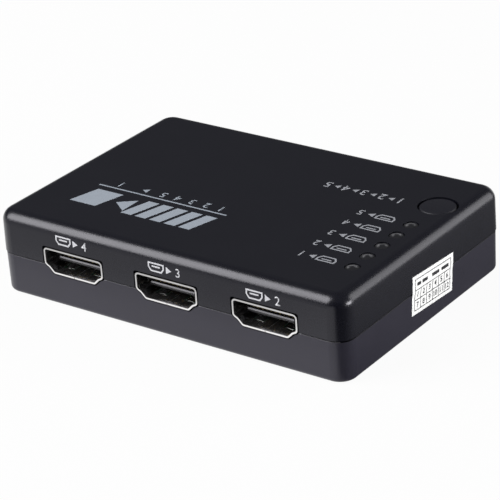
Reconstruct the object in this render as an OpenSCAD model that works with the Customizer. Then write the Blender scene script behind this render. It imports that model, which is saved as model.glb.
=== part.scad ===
// Video switch box: five sockets in, one socket out, chosen by a push button on the top.
// Frame: X along the socket rows, Y away from the inputs 2 to 4, Z up, origin under the middle of the base.

/* [Case] */
// Length along the socket rows
case_len = 83; // [78:0.5:100]
// Width between the two socket rows
case_wid = 57.2; // [56:0.2:76]
// Height from the base to the top face
case_high = 17.8; // [17.2:0.1:22]
// Height of the line where the two covers meet
parting_z = 8.6; // [8:0.1:9]
// Radius of the four upright corners
corner_r = 3.8; // [2.6:0.1:5]
// Radius round the edge of the top face
top_edge_r = 2.6; // [0.8:0.1:3]
// Radius round the edge of the underside
base_edge_r = 1; // [0.4:0.1:1.6]
// Inward lean of the top cover's sides, degrees
top_draft = 1; // [0.2:0.1:2]
// Inward lean of the bottom cover's sides, degrees
base_draft = 0.5; // [0.2:0.1:2]
// Set-back of the bottom cover at the parting line
parting_step = 0.15; // [0.1:0.05:0.4]
// Width of the bevel on the bottom cover at the parting line
edge_run = 0.13; // [0.05:0.01:0.3]
// Height of that bevel
edge_drop = 0.1; // [0.05:0.01:0.3]
// Height of the shadow gap under the top cover at the parting line
reveal_high = 0.3; // [0.1:0.05:0.5]
// Depth of the shadow gap
reveal_deep = 0.5; // [0.3:0.1:0.8]
// Thickness of the side walls
side_wall = 1.5; // [1.3:0.1:1.7]
// Thickness of the top face
roof_t = 1.6; // [1.2:0.1:1.8]
// Thickness of the underside
floor_t = 1.6; // [1.2:0.1:2]
// Radius inside the covers, where walls meet the faces
inner_edge_r = 0.3; // [0.1:0.1:0.5]
// Thickness of the locating lip
lip_t = 0.7; // [0.5:0.1:0.9]
// Height of the locating lip
lip_high = 1.2; // [0.8:0.1:1.6]
// Length of the locating lip along each long side, from the end
lip_run = 8; // [6:0.5:9]
// Clearance round the locating lip
lip_gap = 0.1; // [0.05:0.05:0.2]

/* [Case screws] */
// Screw axis, in from the outer faces
boss_inset = 4.7; // [4.5:0.1:5.2]
// Radius of the top cover's screw bosses
top_boss_r = 2.3; // [2:0.1:2.6]
// Radius of the bottom cover's screw bosses
base_boss_r = 3; // [2.8:0.1:3.2]
// Thickness of the webs that tie the bosses to the walls
boss_web = 1.1; // [0.8:0.1:1.4]
// Radius of the screw head
screw_head_r = 1.8; // [1.6:0.05:1.9]
// Height of the screw head
screw_head_h = 1.2; // [0.9:0.1:1.5]
// Radius of the screw thread
screw_r = 1.1; // [0.9:0.05:1.2]
// Length of the screw under its head
screw_len = 10; // [8:0.5:11]
// Depth from the underside to the seat of the head
screw_well = 3; // [2:0.1:3.6]
// Clearance round the head in its well
well_gap = 0.3; // [0.2:0.05:0.5]
// Clearance round the thread in the bottom cover
screw_gap = 0.2; // [0.1:0.05:0.4]
// Width of the cross slot
cross_w = 0.5; // [0.3:0.05:0.7]
// Depth of the cross slot
cross_d = 0.7; // [0.4:0.1:0.8]

/* [Board] */
// Thickness of the board
board_t = 1.6; // [1.2:0.1:1.8]
// Height of the posts that carry the board
post_high = 3.8; // [3.5:0.1:4]
// Clearance from the board to the walls
board_gap = 0.6; // [0.3:0.1:1]
// Clearance from the board to the corner bosses
notch_gap = 0.5; // [0.3:0.1:1]
// Radius of the plain rests under the board
rest_r = 1.5; // [1:0.1:2]
// Distance of the plain rests from the long centre line
rest_y = 20; // [18:0.5:22]
// Radius of the screw posts under the board
post_r = 2.2; // [1.8:0.1:2.6]
// Screw post on the left, from the middle
post_left = 24.5; // [23.5:0.5:25]
// Screw post on the right, from the middle
post_right = 27; // [26:0.5:28]
// Radius of the board screw's thread
board_screw_r = 0.9; // [0.7:0.05:1]
// Length of the board screw under its head
board_screw_len = 4.6; // [3.5:0.1:5]
// Radius of the board screw's head
board_head_r = 1.7; // [1.5:0.1:1.9]
// Height of the board screw's head
board_head_h = 1.1; // [0.8:0.1:1.4]
// Clearance round legs, leads and screws in the board
hole_gap = 0.15; // [0.1:0.05:0.2]
// Length of legs and leads below the board
leg_out = 0.8; // [0.4:0.1:1.2]

/* [Sockets] */
// End face of the case to the nearest socket of a row
port_end = 10.37; // [9.2:0.01:12]
// Shift of both rows from the middle of the case
port_shift = 0.92; // [-1:0.02:1.4]
// Inside width of the mouth
port_w = 14; // [13:0.1:15]
// Inside height of the mouth
port_h = 4.6; // [4.2:0.1:5]
// Height of the upright part of the mouth's sides
port_side = 3.05; // [2.6:0.05:3.4]
// Inside width of the mouth's floor
port_floor = 10; // [9.4:0.1:10.6]
// Inward reach of the mouth's shoulders
port_shoulder = 0.95; // [0.7:0.05:1.1]
// Drop of the mouth's shoulders
port_drop = 0.5; // [0.3:0.05:0.7]
// Radius of the mouth's corners
port_bend = 0.5; // [0.3:0.05:0.6]
// Thickness of the shell
port_sheet = 0.35; // [0.3:0.05:0.5]
// Length of the shell from mouth to back
port_deep = 11.5; // [10.5:0.1:12]
// Set-back of the shell behind the face of the case
port_recess = 0.05; // [0:0.05:0.5]
// Clearance between the shell and the case
port_gap = 0.3; // [0.2:0.05:0.5]
// Length of the insulator's back block
block_deep = 3.6; // [2.5:0.1:4.5]
// Width of the tongue
tongue_w = 10.4; // [10:0.1:11]
// Thickness of the tongue
tongue_t = 1.05; // [0.9:0.05:1.3]
// Height of the tongue above the board
tongue_z = 1.85; // [1.6:0.05:2.1]
// Distance from the mouth to the tip of the tongue
tongue_in = 2.05; // [1.2:0.05:2.6]
// Height of the bevel on the tip of the tongue
tip_high = 0.25; // [0.2:0.05:0.6]
// Length of the bevel on the tip of the tongue
tip_long = 0.16; // [0.1:0.02:0.5]
// Bevel under the tip of the tongue
tip_low = 0.45; // [0.1:0.05:0.5]
// Distance between contacts
contact_pitch = 1; // [0.95:0.01:1.02]
// Width of a contact
contact_w = 0.3; // [0.2:0.02:0.36]
// Thickness of a contact
contact_t = 0.15; // [0.1:0.01:0.2]
// Height of a contact above the tongue's face
contact_proud = 0.05; // [0.02:0.01:0.08]
// Bare tongue in front of the contacts
contact_in = 0.9; // [0.6:0.1:1.4]
// Length of the solder foot of a contact
contact_foot = 0.9; // [0.6:0.1:1.1]
// Gap from the insulator's back to the upright of a contact
contact_back = 0.35; // [0.2:0.05:0.5]
// Width of a spring finger in the shell
finger_w = 2; // [1.6:0.1:2.4]
// Length of a spring finger in the shell
finger_len = 5; // [4:0.1:5.5]
// Slot round a spring finger
finger_slot = 0.35; // [0.25:0.05:0.5]
// Spring fingers to either side of the middle
finger_x = 3.4; // [2.6:0.1:4]
// Width of the seam in the shell's floor
seam_w = 0.12; // [0.08:0.02:0.2]
// Length along the shell of a solder leg
shell_leg = 1.4; // [1:0.1:1.8]
// First solder leg, from the mouth
shell_leg_a = 4.2; // [3.6:0.1:5]
// Second solder leg, from the mouth
shell_leg_b = 9.2; // [8:0.1:9.8]

/* [Button] */
// Radius of the hole for the button
button_hole_r = 4.05; // [3.6:0.05:4.4]
// Edge of the hole, in from the end face
button_edge = 1.9; // [1.85:0.05:2.4]
// Distance of the button from the long centre line
button_y = 13.9; // [13:0.1:15]
// Clearance round the button
button_gap = 0.3; // [0.15:0.05:0.4]
// Depth of the button's face below the top
button_sunk = 0; // [0:0.05:0.3]
// Bevel round the button's face
button_bevel = 0.3; // [0.2:0.05:0.6]
// Rise of the button's face in the middle
button_crown = 0.1; // [0.05:0.05:0.4]
// Reach of the button's flange past its side
button_flange = 0.9; // [0.6:0.1:1.2]
// Thickness of the button's flange
flange_t = 0.9; // [0.7:0.1:1.2]
// Play of the flange under the top face
button_play = 0.1; // [0.05:0.05:0.2]
// Radius of the button's stem
stem_r = 1.4; // [1.2:0.1:1.6]
// Thickness of the button's side
skirt_t = 0.9; // [0.7:0.1:1.1]
// Thickness of the button's face
face_t = 1.1; // [0.9:0.1:1.3]
// Travel of the button
press_travel = 0.4; // [0.2:0.05:0.5]

/* [Push switch] */
// Side of the switch
switch_w = 6; // [5.6:0.1:6.2]
// Height of the switch's moulded base
switch_base = 3; // [2.8:0.1:3.2]
// Thickness of the switch's metal cover
switch_cover = 0.3; // [0.2:0.05:0.4]
// Height of the plunger above the board
switch_high = 5; // [4.6:0.1:5.4]
// Radius of the plunger
plunger_r = 1.7; // [1.5:0.05:1.8]
// Clearance round the plunger
plunger_gap = 0.15; // [0.1:0.05:0.25]
// Reach of the plunger's collar past its side
collar_out = 0.4; // [0.3:0.05:0.45]
// Thickness of the plunger's collar
collar_t = 0.7; // [0.5:0.1:0.8]
// Radius of the cavity in the switch's base
cavity_r = 2.4; // [2.35:0.05:2.6]
// Thickness of the switch's floor
switch_floor = 0.8; // [0.6:0.1:0.9]
// Radius of the snap dome
dome_r = 2.1; // [1.9:0.05:2.2]
// Rise left in the snap dome when pressed
dome_left = 0.25; // [0.15:0.05:0.35]
// Thickness of the snap dome
dome_t = 0.1; // [0.08:0.01:0.12]
// Radius of the nub under the plunger
nub_r = 0.6; // [0.4:0.05:0.8]
// Length of the switch's terminals
terminal_len = 1.2; // [0.9:0.1:1.4]
// Width of the switch's terminals
terminal_w = 0.7; // [0.5:0.1:0.9]
// Thickness of the switch's terminals
terminal_t = 0.25; // [0.15:0.05:0.3]
// Distance of the terminals from the switch's middle
terminal_x = 2.25; // [2:0.05:2.4]
// Width of the cover's side tabs
tab_w = 2; // [1.6:0.1:2.4]
// Drop of the cover's side tabs
tab_drop = 1.9; // [1.5:0.1:2.2]

/* [Lamps] */
// Lamp row, in from the end face
led_inset = 6.05; // [5.6:0.05:6.6]
// Middle lamp, from the long centre line
led_row = -6.02; // [-7:0.02:-5]
// Distance between lamps
led_pitch = 5.08; // [4.6:0.02:5.2]
// Radius of a lamp
led_r = 1.45; // [1.2:0.05:1.55]
// Clearance round a lamp in the top face
led_gap = 0.12; // [0.05:0.01:0.2]
// Height of a lamp from collar to crown
led_high = 5.3; // [4.6:0.1:5.8]
// Reach of a lamp's collar past its side
led_collar = 0.4; // [0.2:0.05:0.45]
// Thickness of a lamp's collar
led_collar_t = 1; // [0.7:0.1:1.2]
// Rise of a lamp's crowned top
led_crown = 0.2; // [0.1:0.05:0.6]
// Depth of a lamp's crown below the top face
led_sunk = 0; // [0:0.05:0.5]
// Thickness of a lamp's leads
lead_w = 0.45; // [0.35:0.05:0.55]
// Distance between a lamp's leads
lead_pitch = 1.8; // [1.4:0.1:2]
// Depth of the leads inside a lamp
lead_in = 0.7; // [0.4:0.1:0.9]

/* [Power socket] */
// Distance of the power socket from the long centre line
power_y = 7.5; // [6.5:0.1:9]
// Width of the power socket
power_w = 6.4; // [6:0.1:7]
// Height of the power socket
power_h = 5.8; // [5.6:0.1:6.2]
// Length of the power socket inside the walls
power_len = 10; // [9:0.1:10.5]
// Radius of the power socket's bore
power_bore_r = 2.1; // [1.9:0.05:2.2]
// Depth of the power socket's bore
power_deep = 9; // [8:0.1:9.5]
// Radius of the centre pin
power_pin_r = 0.65; // [0.5:0.05:0.8]
// Set-back of the centre pin's tip behind the mouth
power_pin_in = 1; // [0.6:0.1:1.6]
// Bevel on the centre pin's tip
power_pin_tip = 0.2; // [0.1:0.05:0.4]
// Radius of the centre pin's root
power_root_r = 1; // [0.9:0.05:1.4]
// Rise of the spring strip above the foot of the bore
power_strip_up = 0.15; // [0.1:0.05:0.25]

/* [Remote socket] */
// Distance of the remote socket from the long centre line
remote_y = 7.5; // [6.5:0.1:9]
// Width of the remote socket
remote_w = 6; // [5.8:0.1:6.6]
// Height of the remote socket
remote_h = 5.6; // [5.4:0.1:6]
// Length of the remote socket inside the walls
remote_len = 11; // [10:0.1:11.5]
// Radius of the remote socket's metal bush
remote_bush_r = 2.4; // [2.3:0.05:2.5]
// Wall between the remote socket's bore and its spring strips
remote_wall = 0.15; // [0.1:0.05:0.2]
// Radius of the remote socket's bore
remote_bore_r = 1.8; // [1.75:0.01:1.85]
// Depth of the remote socket's bore
remote_deep = 11.8; // [11:0.1:12]
// Length of the bush inside the socket
bush_in = 2; // [1:0.1:2.5]

/* [Both round sockets] */
// Set-back of the round sockets behind the end face
jack_recess = 0.3; // [0.1:0.05:0.5]
// Gap between the walls and the round sockets' bodies
jack_gap = 0.4; // [0.3:0.05:0.6]
// Clearance round the round sockets' square faces in the case
nose_gap = 0.3; // [0.2:0.05:0.5]
// Thickness of the spring strips
strip_t = 0.25; // [0.2:0.05:0.3]
// Width of the spring strips
strip_w = 1.2; // [1:0.1:1.4]
// Length of the spring strips
strip_len = 6; // [5:0.1:6.5]
// Width of the legs
leg_w = 0.9; // [0.7:0.1:1.1]

/* [Board parts] */
// Side of the switching chip
chip_w = 10; // [9:0.1:10.4]
// Thickness of the switching chip
chip_t = 1.4; // [1.2:0.1:1.6]
// Distance between the switching chip's pins
chip_pitch = 0.5; // [0.46:0.01:0.54]
// Width of the switching chip's pins
chip_pin_w = 0.22; // [0.16:0.01:0.26]
// Pins on each side of the switching chip
chip_pins = 16; // [12:1:18]
// Control chip, right of the switching chip
logic_x = 15.6; // [15:0.1:16]
// Width of the control chip
logic_w = 3.9; // [3.6:0.1:4.2]
// Length of the control chip
logic_len = 9.9; // [9.4:0.1:10.4]
// Thickness of the control chip
logic_t = 1.5; // [1.3:0.1:1.7]
// Distance between the control chip's pins
logic_pitch = 1.27; // [1.2:0.01:1.27]
// Width of the control chip's pins
logic_pin_w = 0.4; // [0.3:0.02:0.5]
// Pins on each side of the control chip
logic_pins = 8; // [6:1:8]
// Gap between a chip and the board
chip_stand = 0.1; // [0.05:0.05:0.2]
// Height of a pin where it leaves its chip
pin_rise = 0.75; // [0.6:0.05:0.9]
// Thickness of a pin
pin_t = 0.15; // [0.1:0.01:0.2]
// Reach of a pin past its chip
pin_out = 1; // [0.8:0.05:1.1]
// Depth of a pin inside its chip
pin_in = 0.4; // [0.2:0.1:0.6]
// Regulator, left of the middle
reg_x = 12.5; // [12:0.1:13]
// Regulator, from the long centre line
reg_y = 6; // [5:0.1:7]
// Length of the regulator
reg_len = 6.5; // [6:0.1:6.8]
// Width of the regulator
reg_w = 3.5; // [3.2:0.1:3.8]
// Thickness of the regulator
reg_t = 1.6; // [1.4:0.1:1.8]
// Distance between the regulator's pins
reg_pitch = 2.3; // [2:0.05:2.4]
// Width of the regulator's pins
reg_pin_w = 0.7; // [0.5:0.05:0.9]
// Width of the regulator's tab
reg_tab_w = 3; // [2.6:0.1:3.4]
// Gap between the crystal and the push switch
crystal_side = 1.75; // [1.2:0.05:2.4]
// Gap between the crystal and the chip resistors
crystal_gap = 1.2; // [0.8:0.1:1.6]
// Length of the crystal's can
crystal_len = 10; // [9:0.1:10.4]
// Width of the crystal's can
crystal_w = 3.6; // [3.2:0.1:3.8]
// Height of the crystal's can
crystal_h = 3.2; // [2.6:0.1:3.8]
// Rim round the crystal's foot
crystal_rim = 0.5; // [0.3:0.1:0.6]
// Height of the crystal's rim
crystal_rim_h = 0.4; // [0.3:0.1:0.6]
// Filter capacitors, left of the middle
can_x = 20.5; // [20.3:0.1:20.6]
// Filter capacitors to either side of the long centre line
can_y = 7.4; // [6:0.1:8.6]
// Radius of a filter capacitor
can_r = 2.4; // [2:0.1:2.5]
// Height of a filter capacitor with its foot
can_h = 5.4; // [4.6:0.1:6.4]
// Height of a filter capacitor's foot
can_foot = 0.8; // [0.5:0.1:1]
// Reach of the foot past the can
can_rim = 0.2; // [0.1:0.05:0.25]
// Length of a small chip part
smd_len = 1.6; // [1.4:0.1:1.8]
// Width of a small chip part
smd_w = 0.8; // [0.6:0.05:0.9]
// Thickness of a chip resistor
resistor_t = 0.45; // [0.35:0.05:0.6]
// Thickness of a chip capacitor
capacitor_t = 0.8; // [0.6:0.05:0.9]
// Distance between small chip parts
smd_pitch = 1.3; // [1.2:0.05:1.5]
// Gap between the socket feet and the chip resistors
resistor_gap = 0.8; // [0.5:0.1:1]
// Gap between the switching chip's pins and the chip capacitors
capacitor_gap = 0.9; // [0.6:0.1:1.2]

/* [Label] */
// Length of the label
label_len = 14.6; // [12:0.1:18]
// Height of the label
label_high = 8; // [6:0.1:9]
// Thickness of the label
label_t = 0.1; // [0.06:0.01:0.15]
// Middle of the label, from the long centre line
label_y = 1.68; // [-4:0.02:4]
// Middle of the label, below the parting line
label_drop = 0.9; // [0:0.1:1.2]
// Lean of the label, degrees
label_lean = -3.5; // [-6:0.1:6]
// Height of the label's slope from the one cover to the other
label_bridge = 0.8; // [0.5:0.1:1.2]

/* [Hidden] */
$fn = 48;
// Small overrun of every cut
over = 0.5;
case_colour = [0.13, 0.13, 0.145];
metal_colour = [0.76, 0.76, 0.78];
dark_colour = [0.06, 0.06, 0.065];
gold_colour = [0.85, 0.68, 0.32];
board_colour = [0.06, 0.3, 0.16];
lamp_colour = [0.85, 0.87, 0.88];
paper_colour = [0.93, 0.93, 0.92];
copper_colour = [0.7, 0.52, 0.3];

board_bottom = floor_t + post_high;
board_top = board_bottom + board_t;
roof_z = case_high - roof_t;
base_len = case_len - 2 * parting_step;
base_wid = case_wid - 2 * parting_step;
base_corner = corner_r - parting_step;
base_in = parting_step + side_wall;
board_in = base_in + (parting_z - board_bottom) * tan(base_draft) + board_gap;
board_len = case_len - 2 * board_in;
board_wid = case_wid - 2 * board_in;
boss_x = case_len / 2 - boss_inset;
boss_y = case_wid / 2 - boss_inset;
shell_out = port_w / 2 + port_sheet;
port_pitch = case_len / 2 - port_end - shell_out - port_shift;
rest_x = port_pitch / 2;
row_y = case_wid / 2 - port_recess;
button_r = button_hole_r - button_gap;
button_x = case_len / 2 - button_edge - button_hole_r;
button_top = case_high - button_sunk;
face_r = button_r - button_bevel;
crown_steps = 6;
flange_top = roof_z - button_play;
plunger_top = board_top + switch_high;
dome_z = board_top + switch_floor;
dome_rise = dome_left + press_travel;
led_x = case_len / 2 - led_inset;
led_top = case_high - led_sunk;
led_foot = led_top - led_high;
jack_face = -case_len / 2 + jack_recess;
jack_body = -case_len / 2 + base_in + jack_gap;
power_z = board_top + power_h / 2;
strip_top = power_z - power_bore_r + power_strip_up;
remote_z = board_top + remote_h / 2;
strip_y = remote_bore_r + remote_wall + strip_t / 2;
contact_end = port_deep + contact_back + contact_t;
feet_y = row_y - contact_end - contact_foot;
resistor_y = feet_y - resistor_gap - smd_len / 2;
crystal_x = button_x - switch_w / 2 - switch_cover - crystal_side - crystal_rim - crystal_len / 2;
crystal_y = resistor_y - smd_len / 2 - crystal_gap - crystal_rim - crystal_w / 2;

// Outline of a socket's mouth, seen from outside, above the board
mouth_low = port_sheet;
mouth_high = port_sheet + port_h;
mouth = [
    [-port_floor / 2, mouth_low],
    [port_floor / 2, mouth_low],
    [port_w / 2 - port_shoulder, mouth_high - port_side - port_drop],
    [port_w / 2, mouth_high - port_side],
    [port_w / 2, mouth_high],
    [-port_w / 2, mouth_high],
    [-port_w / 2, mouth_high - port_side],
    [port_shoulder - port_w / 2, mouth_high - port_side - port_drop]
];
// Step along the row and side of the case, inputs 1 to 5 and the output
PORTS = [[1, 1], [1, -1], [0, -1], [-1, -1], [-1, 1], [0, 1]];

function unit(v) = v / norm(v);
// Outline pushed outwards by t
function grown(pts, t) =
    let (n = len(pts))
    [for (i = [0 : n - 1])
        let (a = unit(pts[i] - pts[(i + n - 1) % n]),
             b = unit(pts[(i + 1) % n] - pts[i]),
             na = [a[1], -a[0]],
             nb = [b[1], -b[0]])
        pts[i] + t * (na + nb) / (1 + na * nb)];
// Outline with its corners rounded to radius r
function bent(pts, r) =
    let (n = len(pts), steps = 3)
    [for (i = [0 : n - 1])
        let (a = unit(pts[i] - pts[(i + n - 1) % n]),
             b = unit(pts[(i + 1) % n] - pts[i]),
             turn = atan2(a[0] * b[1] - a[1] * b[0], a * b),
             hand = sign(turn),
             mid = pts[i] - a * r * tan(abs(turn) / 2) + hand * r * [-a[1], a[0]],
             start = atan2(-hand * a[0], hand * a[1]))
        for (k = [0 : steps])
            mid + r * [cos(start + turn * k / steps), sin(start + turn * k / steps)]];

// Half section of a leaning wall with a rounded crown, its bevel given as width and height
module wall_section(rim, high, lean, edge, bevel) {
    crown = [rim - (high - edge) * tan(lean) - edge / cos(lean), high - edge];
    polygon([
        [0, 0],
        [rim - bevel[0], 0],
        [rim - bevel[1] * tan(lean), bevel[1]],
        crown + edge * [cos(lean), sin(lean)],
        crown,
        [crown[0], high],
        [0, high]
    ]);
    translate(crown)
        intersection() {
            circle(edge);
            square(2 * edge);
        }
}

// Whole section across two opposite walls
module span_section(half, rim, high, lean, edge, bevel) {
    translate([half, 0])
        wall_section(rim, high, lean, edge, bevel);
    translate([-half, 0])
        mirror([1, 0])
            wall_section(rim, high, lean, edge, bevel);
    translate([-half, 0])
        square([2 * half, high]);
}

// Block with leaning sides, round corners and a rounded crown
module leaning_block(length, width, high, corner, lean, edge, bevel) {
    cx = length / 2 - corner;
    cy = width / 2 - corner;
    for (c = [[1, 1, 0], [-1, 1, 90], [-1, -1, 180], [1, -1, 270]])
        translate([c[0] * cx, c[1] * cy, 0])
            rotate(c[2])
                rotate_extrude(angle = 90)
                    wall_section(corner, high, lean, edge, bevel);
    rotate([90, 0, 90])
        linear_extrude(2 * cx, center = true)
            span_section(cy, corner, high, lean, edge, bevel);
    rotate([90, 0, 0])
        linear_extrude(2 * cy, center = true)
            span_section(cx, corner, high, lean, edge, bevel);
}

// Straight block with round corners, set in from the outer faces at the parting line
module lip_block(inset, high) {
    cx = case_len / 2 - corner_r;
    cy = case_wid / 2 - corner_r;
    r = corner_r - inset;
    linear_extrude(high) {
        square([2 * cx, 2 * (cy + r)], center = true);
        square([2 * (cx + r), 2 * cy], center = true);
        for (sx = [-1, 1], sy = [-1, 1])
            translate([sx * cx, sy * cy])
                circle(r);
    }
}

// Shadow gap round the rim of the top cover
module reveal_cut() {
    translate([0, 0, parting_z - over])
        difference() {
            lip_block(-over, reveal_high + over);
            translate([0, 0, -over])
                lip_block(reveal_deep, reveal_high + 3 * over);
        }
}

// Middle of the long sides, which has no locating lip because of the sockets
module lip_break(gap) {
    long = case_len - 2 * (lip_run + gap);
    translate([-long / 2, -case_wid / 2, parting_z - lip_high])
        cube([long, case_wid, 3 * lip_high]);
}

module at_corners() {
    for (sx = [-1, 1], sy = [-1, 1])
        translate([sx * boss_x, sy * boss_y, 0])
            children();
}

module at_rests() {
    for (sx = [-1, 1], sy = [-1, 1])
        translate([port_shift + sx * rest_x, sy * rest_y, 0])
            children();
}

module at_posts() {
    for (x = [-post_left, post_right])
        translate([x, 0, 0])
            children();
}

module at_port(p) {
    translate([port_shift + p[0] * port_pitch, p[1] * row_y, board_top])
        rotate(p[1] < 0 ? 0 : 180)
            children();
}

module at_lamp(i) {
    translate([led_x, led_row + (i - 3) * led_pitch, 0])
        children();
}

// Webs from a corner boss to the two walls beside it
module boss_webs(z0, z1) {
    reach_x = case_len / 2 - base_in + side_wall / 2;
    reach_y = case_wid / 2 - base_in + side_wall / 2;
    for (sx = [-1, 1], sy = [-1, 1]) {
        translate([sx * (boss_x + reach_x) / 2, sy * boss_y, (z0 + z1) / 2])
            cube([reach_x - boss_x, boss_web, z1 - z0], center = true);
        translate([sx * boss_x, sy * (boss_y + reach_y) / 2, (z0 + z1) / 2])
            cube([boss_web, reach_y - boss_y, z1 - z0], center = true);
    }
}

// Outline extruded inwards along Y
module inward(y0, y1) {
    translate([0, y1, 0])
        rotate([90, 0, 0])
            linear_extrude(y1 - y0)
                children();
}

module port_cut(p) {
    reach = base_in + over;
    at_port(p)
        inward(-2 * over - port_recess, reach)
            polygon(bent(grown(mouth, port_sheet + port_gap), port_bend + port_sheet));
}

// The top cover's cut runs straight down to the parting line, so that the cover lifts off
module port_cut_top(p) {
    reach = base_in + over;
    half = shell_out + port_gap;
    crown = mouth_high + port_sheet + port_gap;
    at_port(p)
        inward(-2 * over - port_recess, reach)
            polygon(bent([[-half, -over], [half, -over], [half, crown], [-half, crown]], port_bend));
}

// Window in the end wall for the square face of a round socket
module jack_cut(y, wide, high) {
    translate([-case_len / 2 - over, y - wide / 2 - nose_gap, board_top - nose_gap])
        cube([base_in + 2 * over, wide + 2 * nose_gap, high + 2 * nose_gap]);
}

module top_cover() {
    lean_over = over * tan(top_draft);
    pilot_deep = screw_well + screw_len + over;
    color(case_colour)
        difference() {
            union() {
                difference() {
                    translate([0, 0, parting_z])
                        leaning_block(case_len, case_wid, case_high - parting_z, corner_r,
                            top_draft, top_edge_r, [0, 0]);
                    translate([0, 0, parting_z - over])
                        leaning_block(case_len - 2 * (side_wall - lean_over),
                            case_wid - 2 * (side_wall - lean_over),
                            roof_z - parting_z + over, corner_r - side_wall + lean_over,
                            top_draft, inner_edge_r, [0, 0]);
                    difference() {
                        translate([0, 0, parting_z - over])
                            lip_block(base_in - lip_t - lip_gap, lip_high + lip_gap + over);
                        lip_break(lip_gap);
                    }
                }
                at_corners()
                    translate([0, 0, parting_z])
                        cylinder(r = top_boss_r, h = roof_z + roof_t / 2 - parting_z);
                boss_webs(parting_z + lip_high + 2 * lip_gap, roof_z + roof_t / 2);
            }
            at_corners()
                translate([0, 0, parting_z - over])
                    cylinder(r = screw_r, h = pilot_deep - parting_z + over);
            for (i = [1 : 5])
                at_lamp(i)
                    translate([0, 0, roof_z - over])
                        cylinder(r = led_r + led_gap, h = roof_t + 2 * over);
            translate([button_x, button_y, roof_z - over])
                cylinder(r = button_hole_r, h = roof_t + 2 * over);
            reveal_cut();
            for (p = PORTS)
                port_cut_top(p);
            jack_cut(power_y, power_w, power_h);
            jack_cut(-remote_y, remote_w, remote_h);
        }
}

module bottom_cover() {
    lean_over = over * tan(base_draft);
    color(case_colour)
        difference() {
            union() {
                difference() {
                    translate([0, 0, parting_z])
                        mirror([0, 0, 1])
                            leaning_block(base_len, base_wid, parting_z, base_corner,
                                base_draft, base_edge_r, [edge_run, edge_drop]);
                    translate([0, 0, parting_z + over])
                        mirror([0, 0, 1])
                            leaning_block(base_len - 2 * (side_wall - lean_over),
                                base_wid - 2 * (side_wall - lean_over),
                                parting_z - floor_t + over, base_corner - side_wall + lean_over,
                                base_draft, inner_edge_r, [0, 0]);
                }
                difference() {
                    translate([0, 0, parting_z - over])
                        lip_block(base_in - lip_t, lip_high + over);
                    translate([0, 0, parting_z - 2 * over])
                        lip_block(base_in, lip_high + 4 * over);
                    lip_break(0);
                }
                at_corners()
                    translate([0, 0, floor_t / 2])
                        cylinder(r = base_boss_r, h = parting_z - floor_t / 2);
                boss_webs(floor_t / 2, parting_z - over);
                at_rests()
                    translate([0, 0, floor_t / 2])
                        cylinder(r = rest_r, h = board_bottom - floor_t / 2);
                at_posts()
                    translate([0, 0, floor_t / 2])
                        cylinder(r = post_r, h = board_bottom - floor_t / 2);
            }
            at_corners() {
                translate([0, 0, -over])
                    cylinder(r = screw_head_r + well_gap, h = screw_well + over);
                cylinder(r = screw_r + screw_gap, h = parting_z + over);
            }
            at_posts()
                translate([0, 0, board_top - board_screw_len - over])
                    cylinder(r = board_screw_r, h = board_screw_len + over);
            for (p = PORTS)
                port_cut(p);
            jack_cut(power_y, power_w, power_h);
            jack_cut(-remote_y, remote_w, remote_h);
        }
}

// Screw standing on its head's seat at z = 0, thread upwards
module screw(head_r, head_h, thread_r, length) {
    difference() {
        rotate_extrude()
            polygon([
                [0, -head_h],
                [head_r * 0.7, -head_h],
                [head_r, -head_h * 0.5],
                [head_r, 0],
                [thread_r, 0],
                [thread_r, length - thread_r],
                [thread_r * 0.5, length],
                [0, length]
            ]);
        for (turn = [0, 90])
            rotate(turn)
                translate([-head_r * 0.55, -cross_w / 2, -head_h - over])
                    cube([head_r * 1.1, cross_w, cross_d + over]);
    }
}

module case_screws() {
    color(metal_colour)
        at_corners()
            translate([0, 0, screw_well])
                screw(screw_head_r, screw_head_h, screw_r, screw_len);
}

module board_screws() {
    color(metal_colour)
        at_posts()
            translate([0, 0, board_top])
                mirror([0, 0, 1])
                    screw(board_head_r, board_head_h, board_screw_r, board_screw_len);
}

// Legs and leads that pass through the board, each widened by g
module shell_legs(g) {
    for (p = PORTS)
        at_port(p)
            socket_legs(g);
}

module lead_pair(g) {
    for (s = [-1, 1])
        translate([-lead_w / 2 - g, s * lead_pitch / 2 - lead_w / 2 - g, board_bottom - leg_out])
            cube([lead_w + 2 * g, lead_w + 2 * g, led_foot + lead_in - board_bottom + leg_out]);
}

// One leg rises to the spring strip, the other to the centre pin
module power_legs(g) {
    mid_z = strip_top - strip_t / 2;
    for (leg = [[jack_body + power_len / 2, mid_z], [jack_body + power_len - leg_w, power_z]])
        translate([leg[0] - g, power_y - leg_w / 2 - g, board_bottom - leg_out])
            cube([strip_t + 2 * g, leg_w + 2 * g, leg[1] - board_bottom + leg_out]);
}

module remote_legs(g) {
    for (s = [-1, 1])
        translate([jack_body + remote_len - 3 * leg_w - g, s * strip_y - remote_y - strip_t / 2 - g,
                board_bottom - leg_out])
            cube([leg_w + 2 * g, strip_t + 2 * g, remote_z - board_bottom + leg_out]);
}

module circuit_board() {
    notch = boss_inset + base_boss_r + notch_gap;
    color(board_colour)
        difference() {
            translate([-board_len / 2, -board_wid / 2, board_bottom])
                cube([board_len, board_wid, board_t]);
            for (sx = [-1, 1], sy = [-1, 1])
                translate([sx * case_len / 2, sy * case_wid / 2, board_bottom + board_t / 2])
                    cube([2 * notch, 2 * notch, board_t + 2 * over], center = true);
            at_posts()
                translate([0, 0, board_bottom - over])
                    cylinder(r = board_screw_r + hole_gap, h = board_t + 2 * over);
            shell_legs(hole_gap);
            for (i = [1 : 5])
                at_lamp(i)
                    lead_pair(hole_gap);
            power_legs(hole_gap);
            remote_legs(hole_gap);
        }
}

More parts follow.
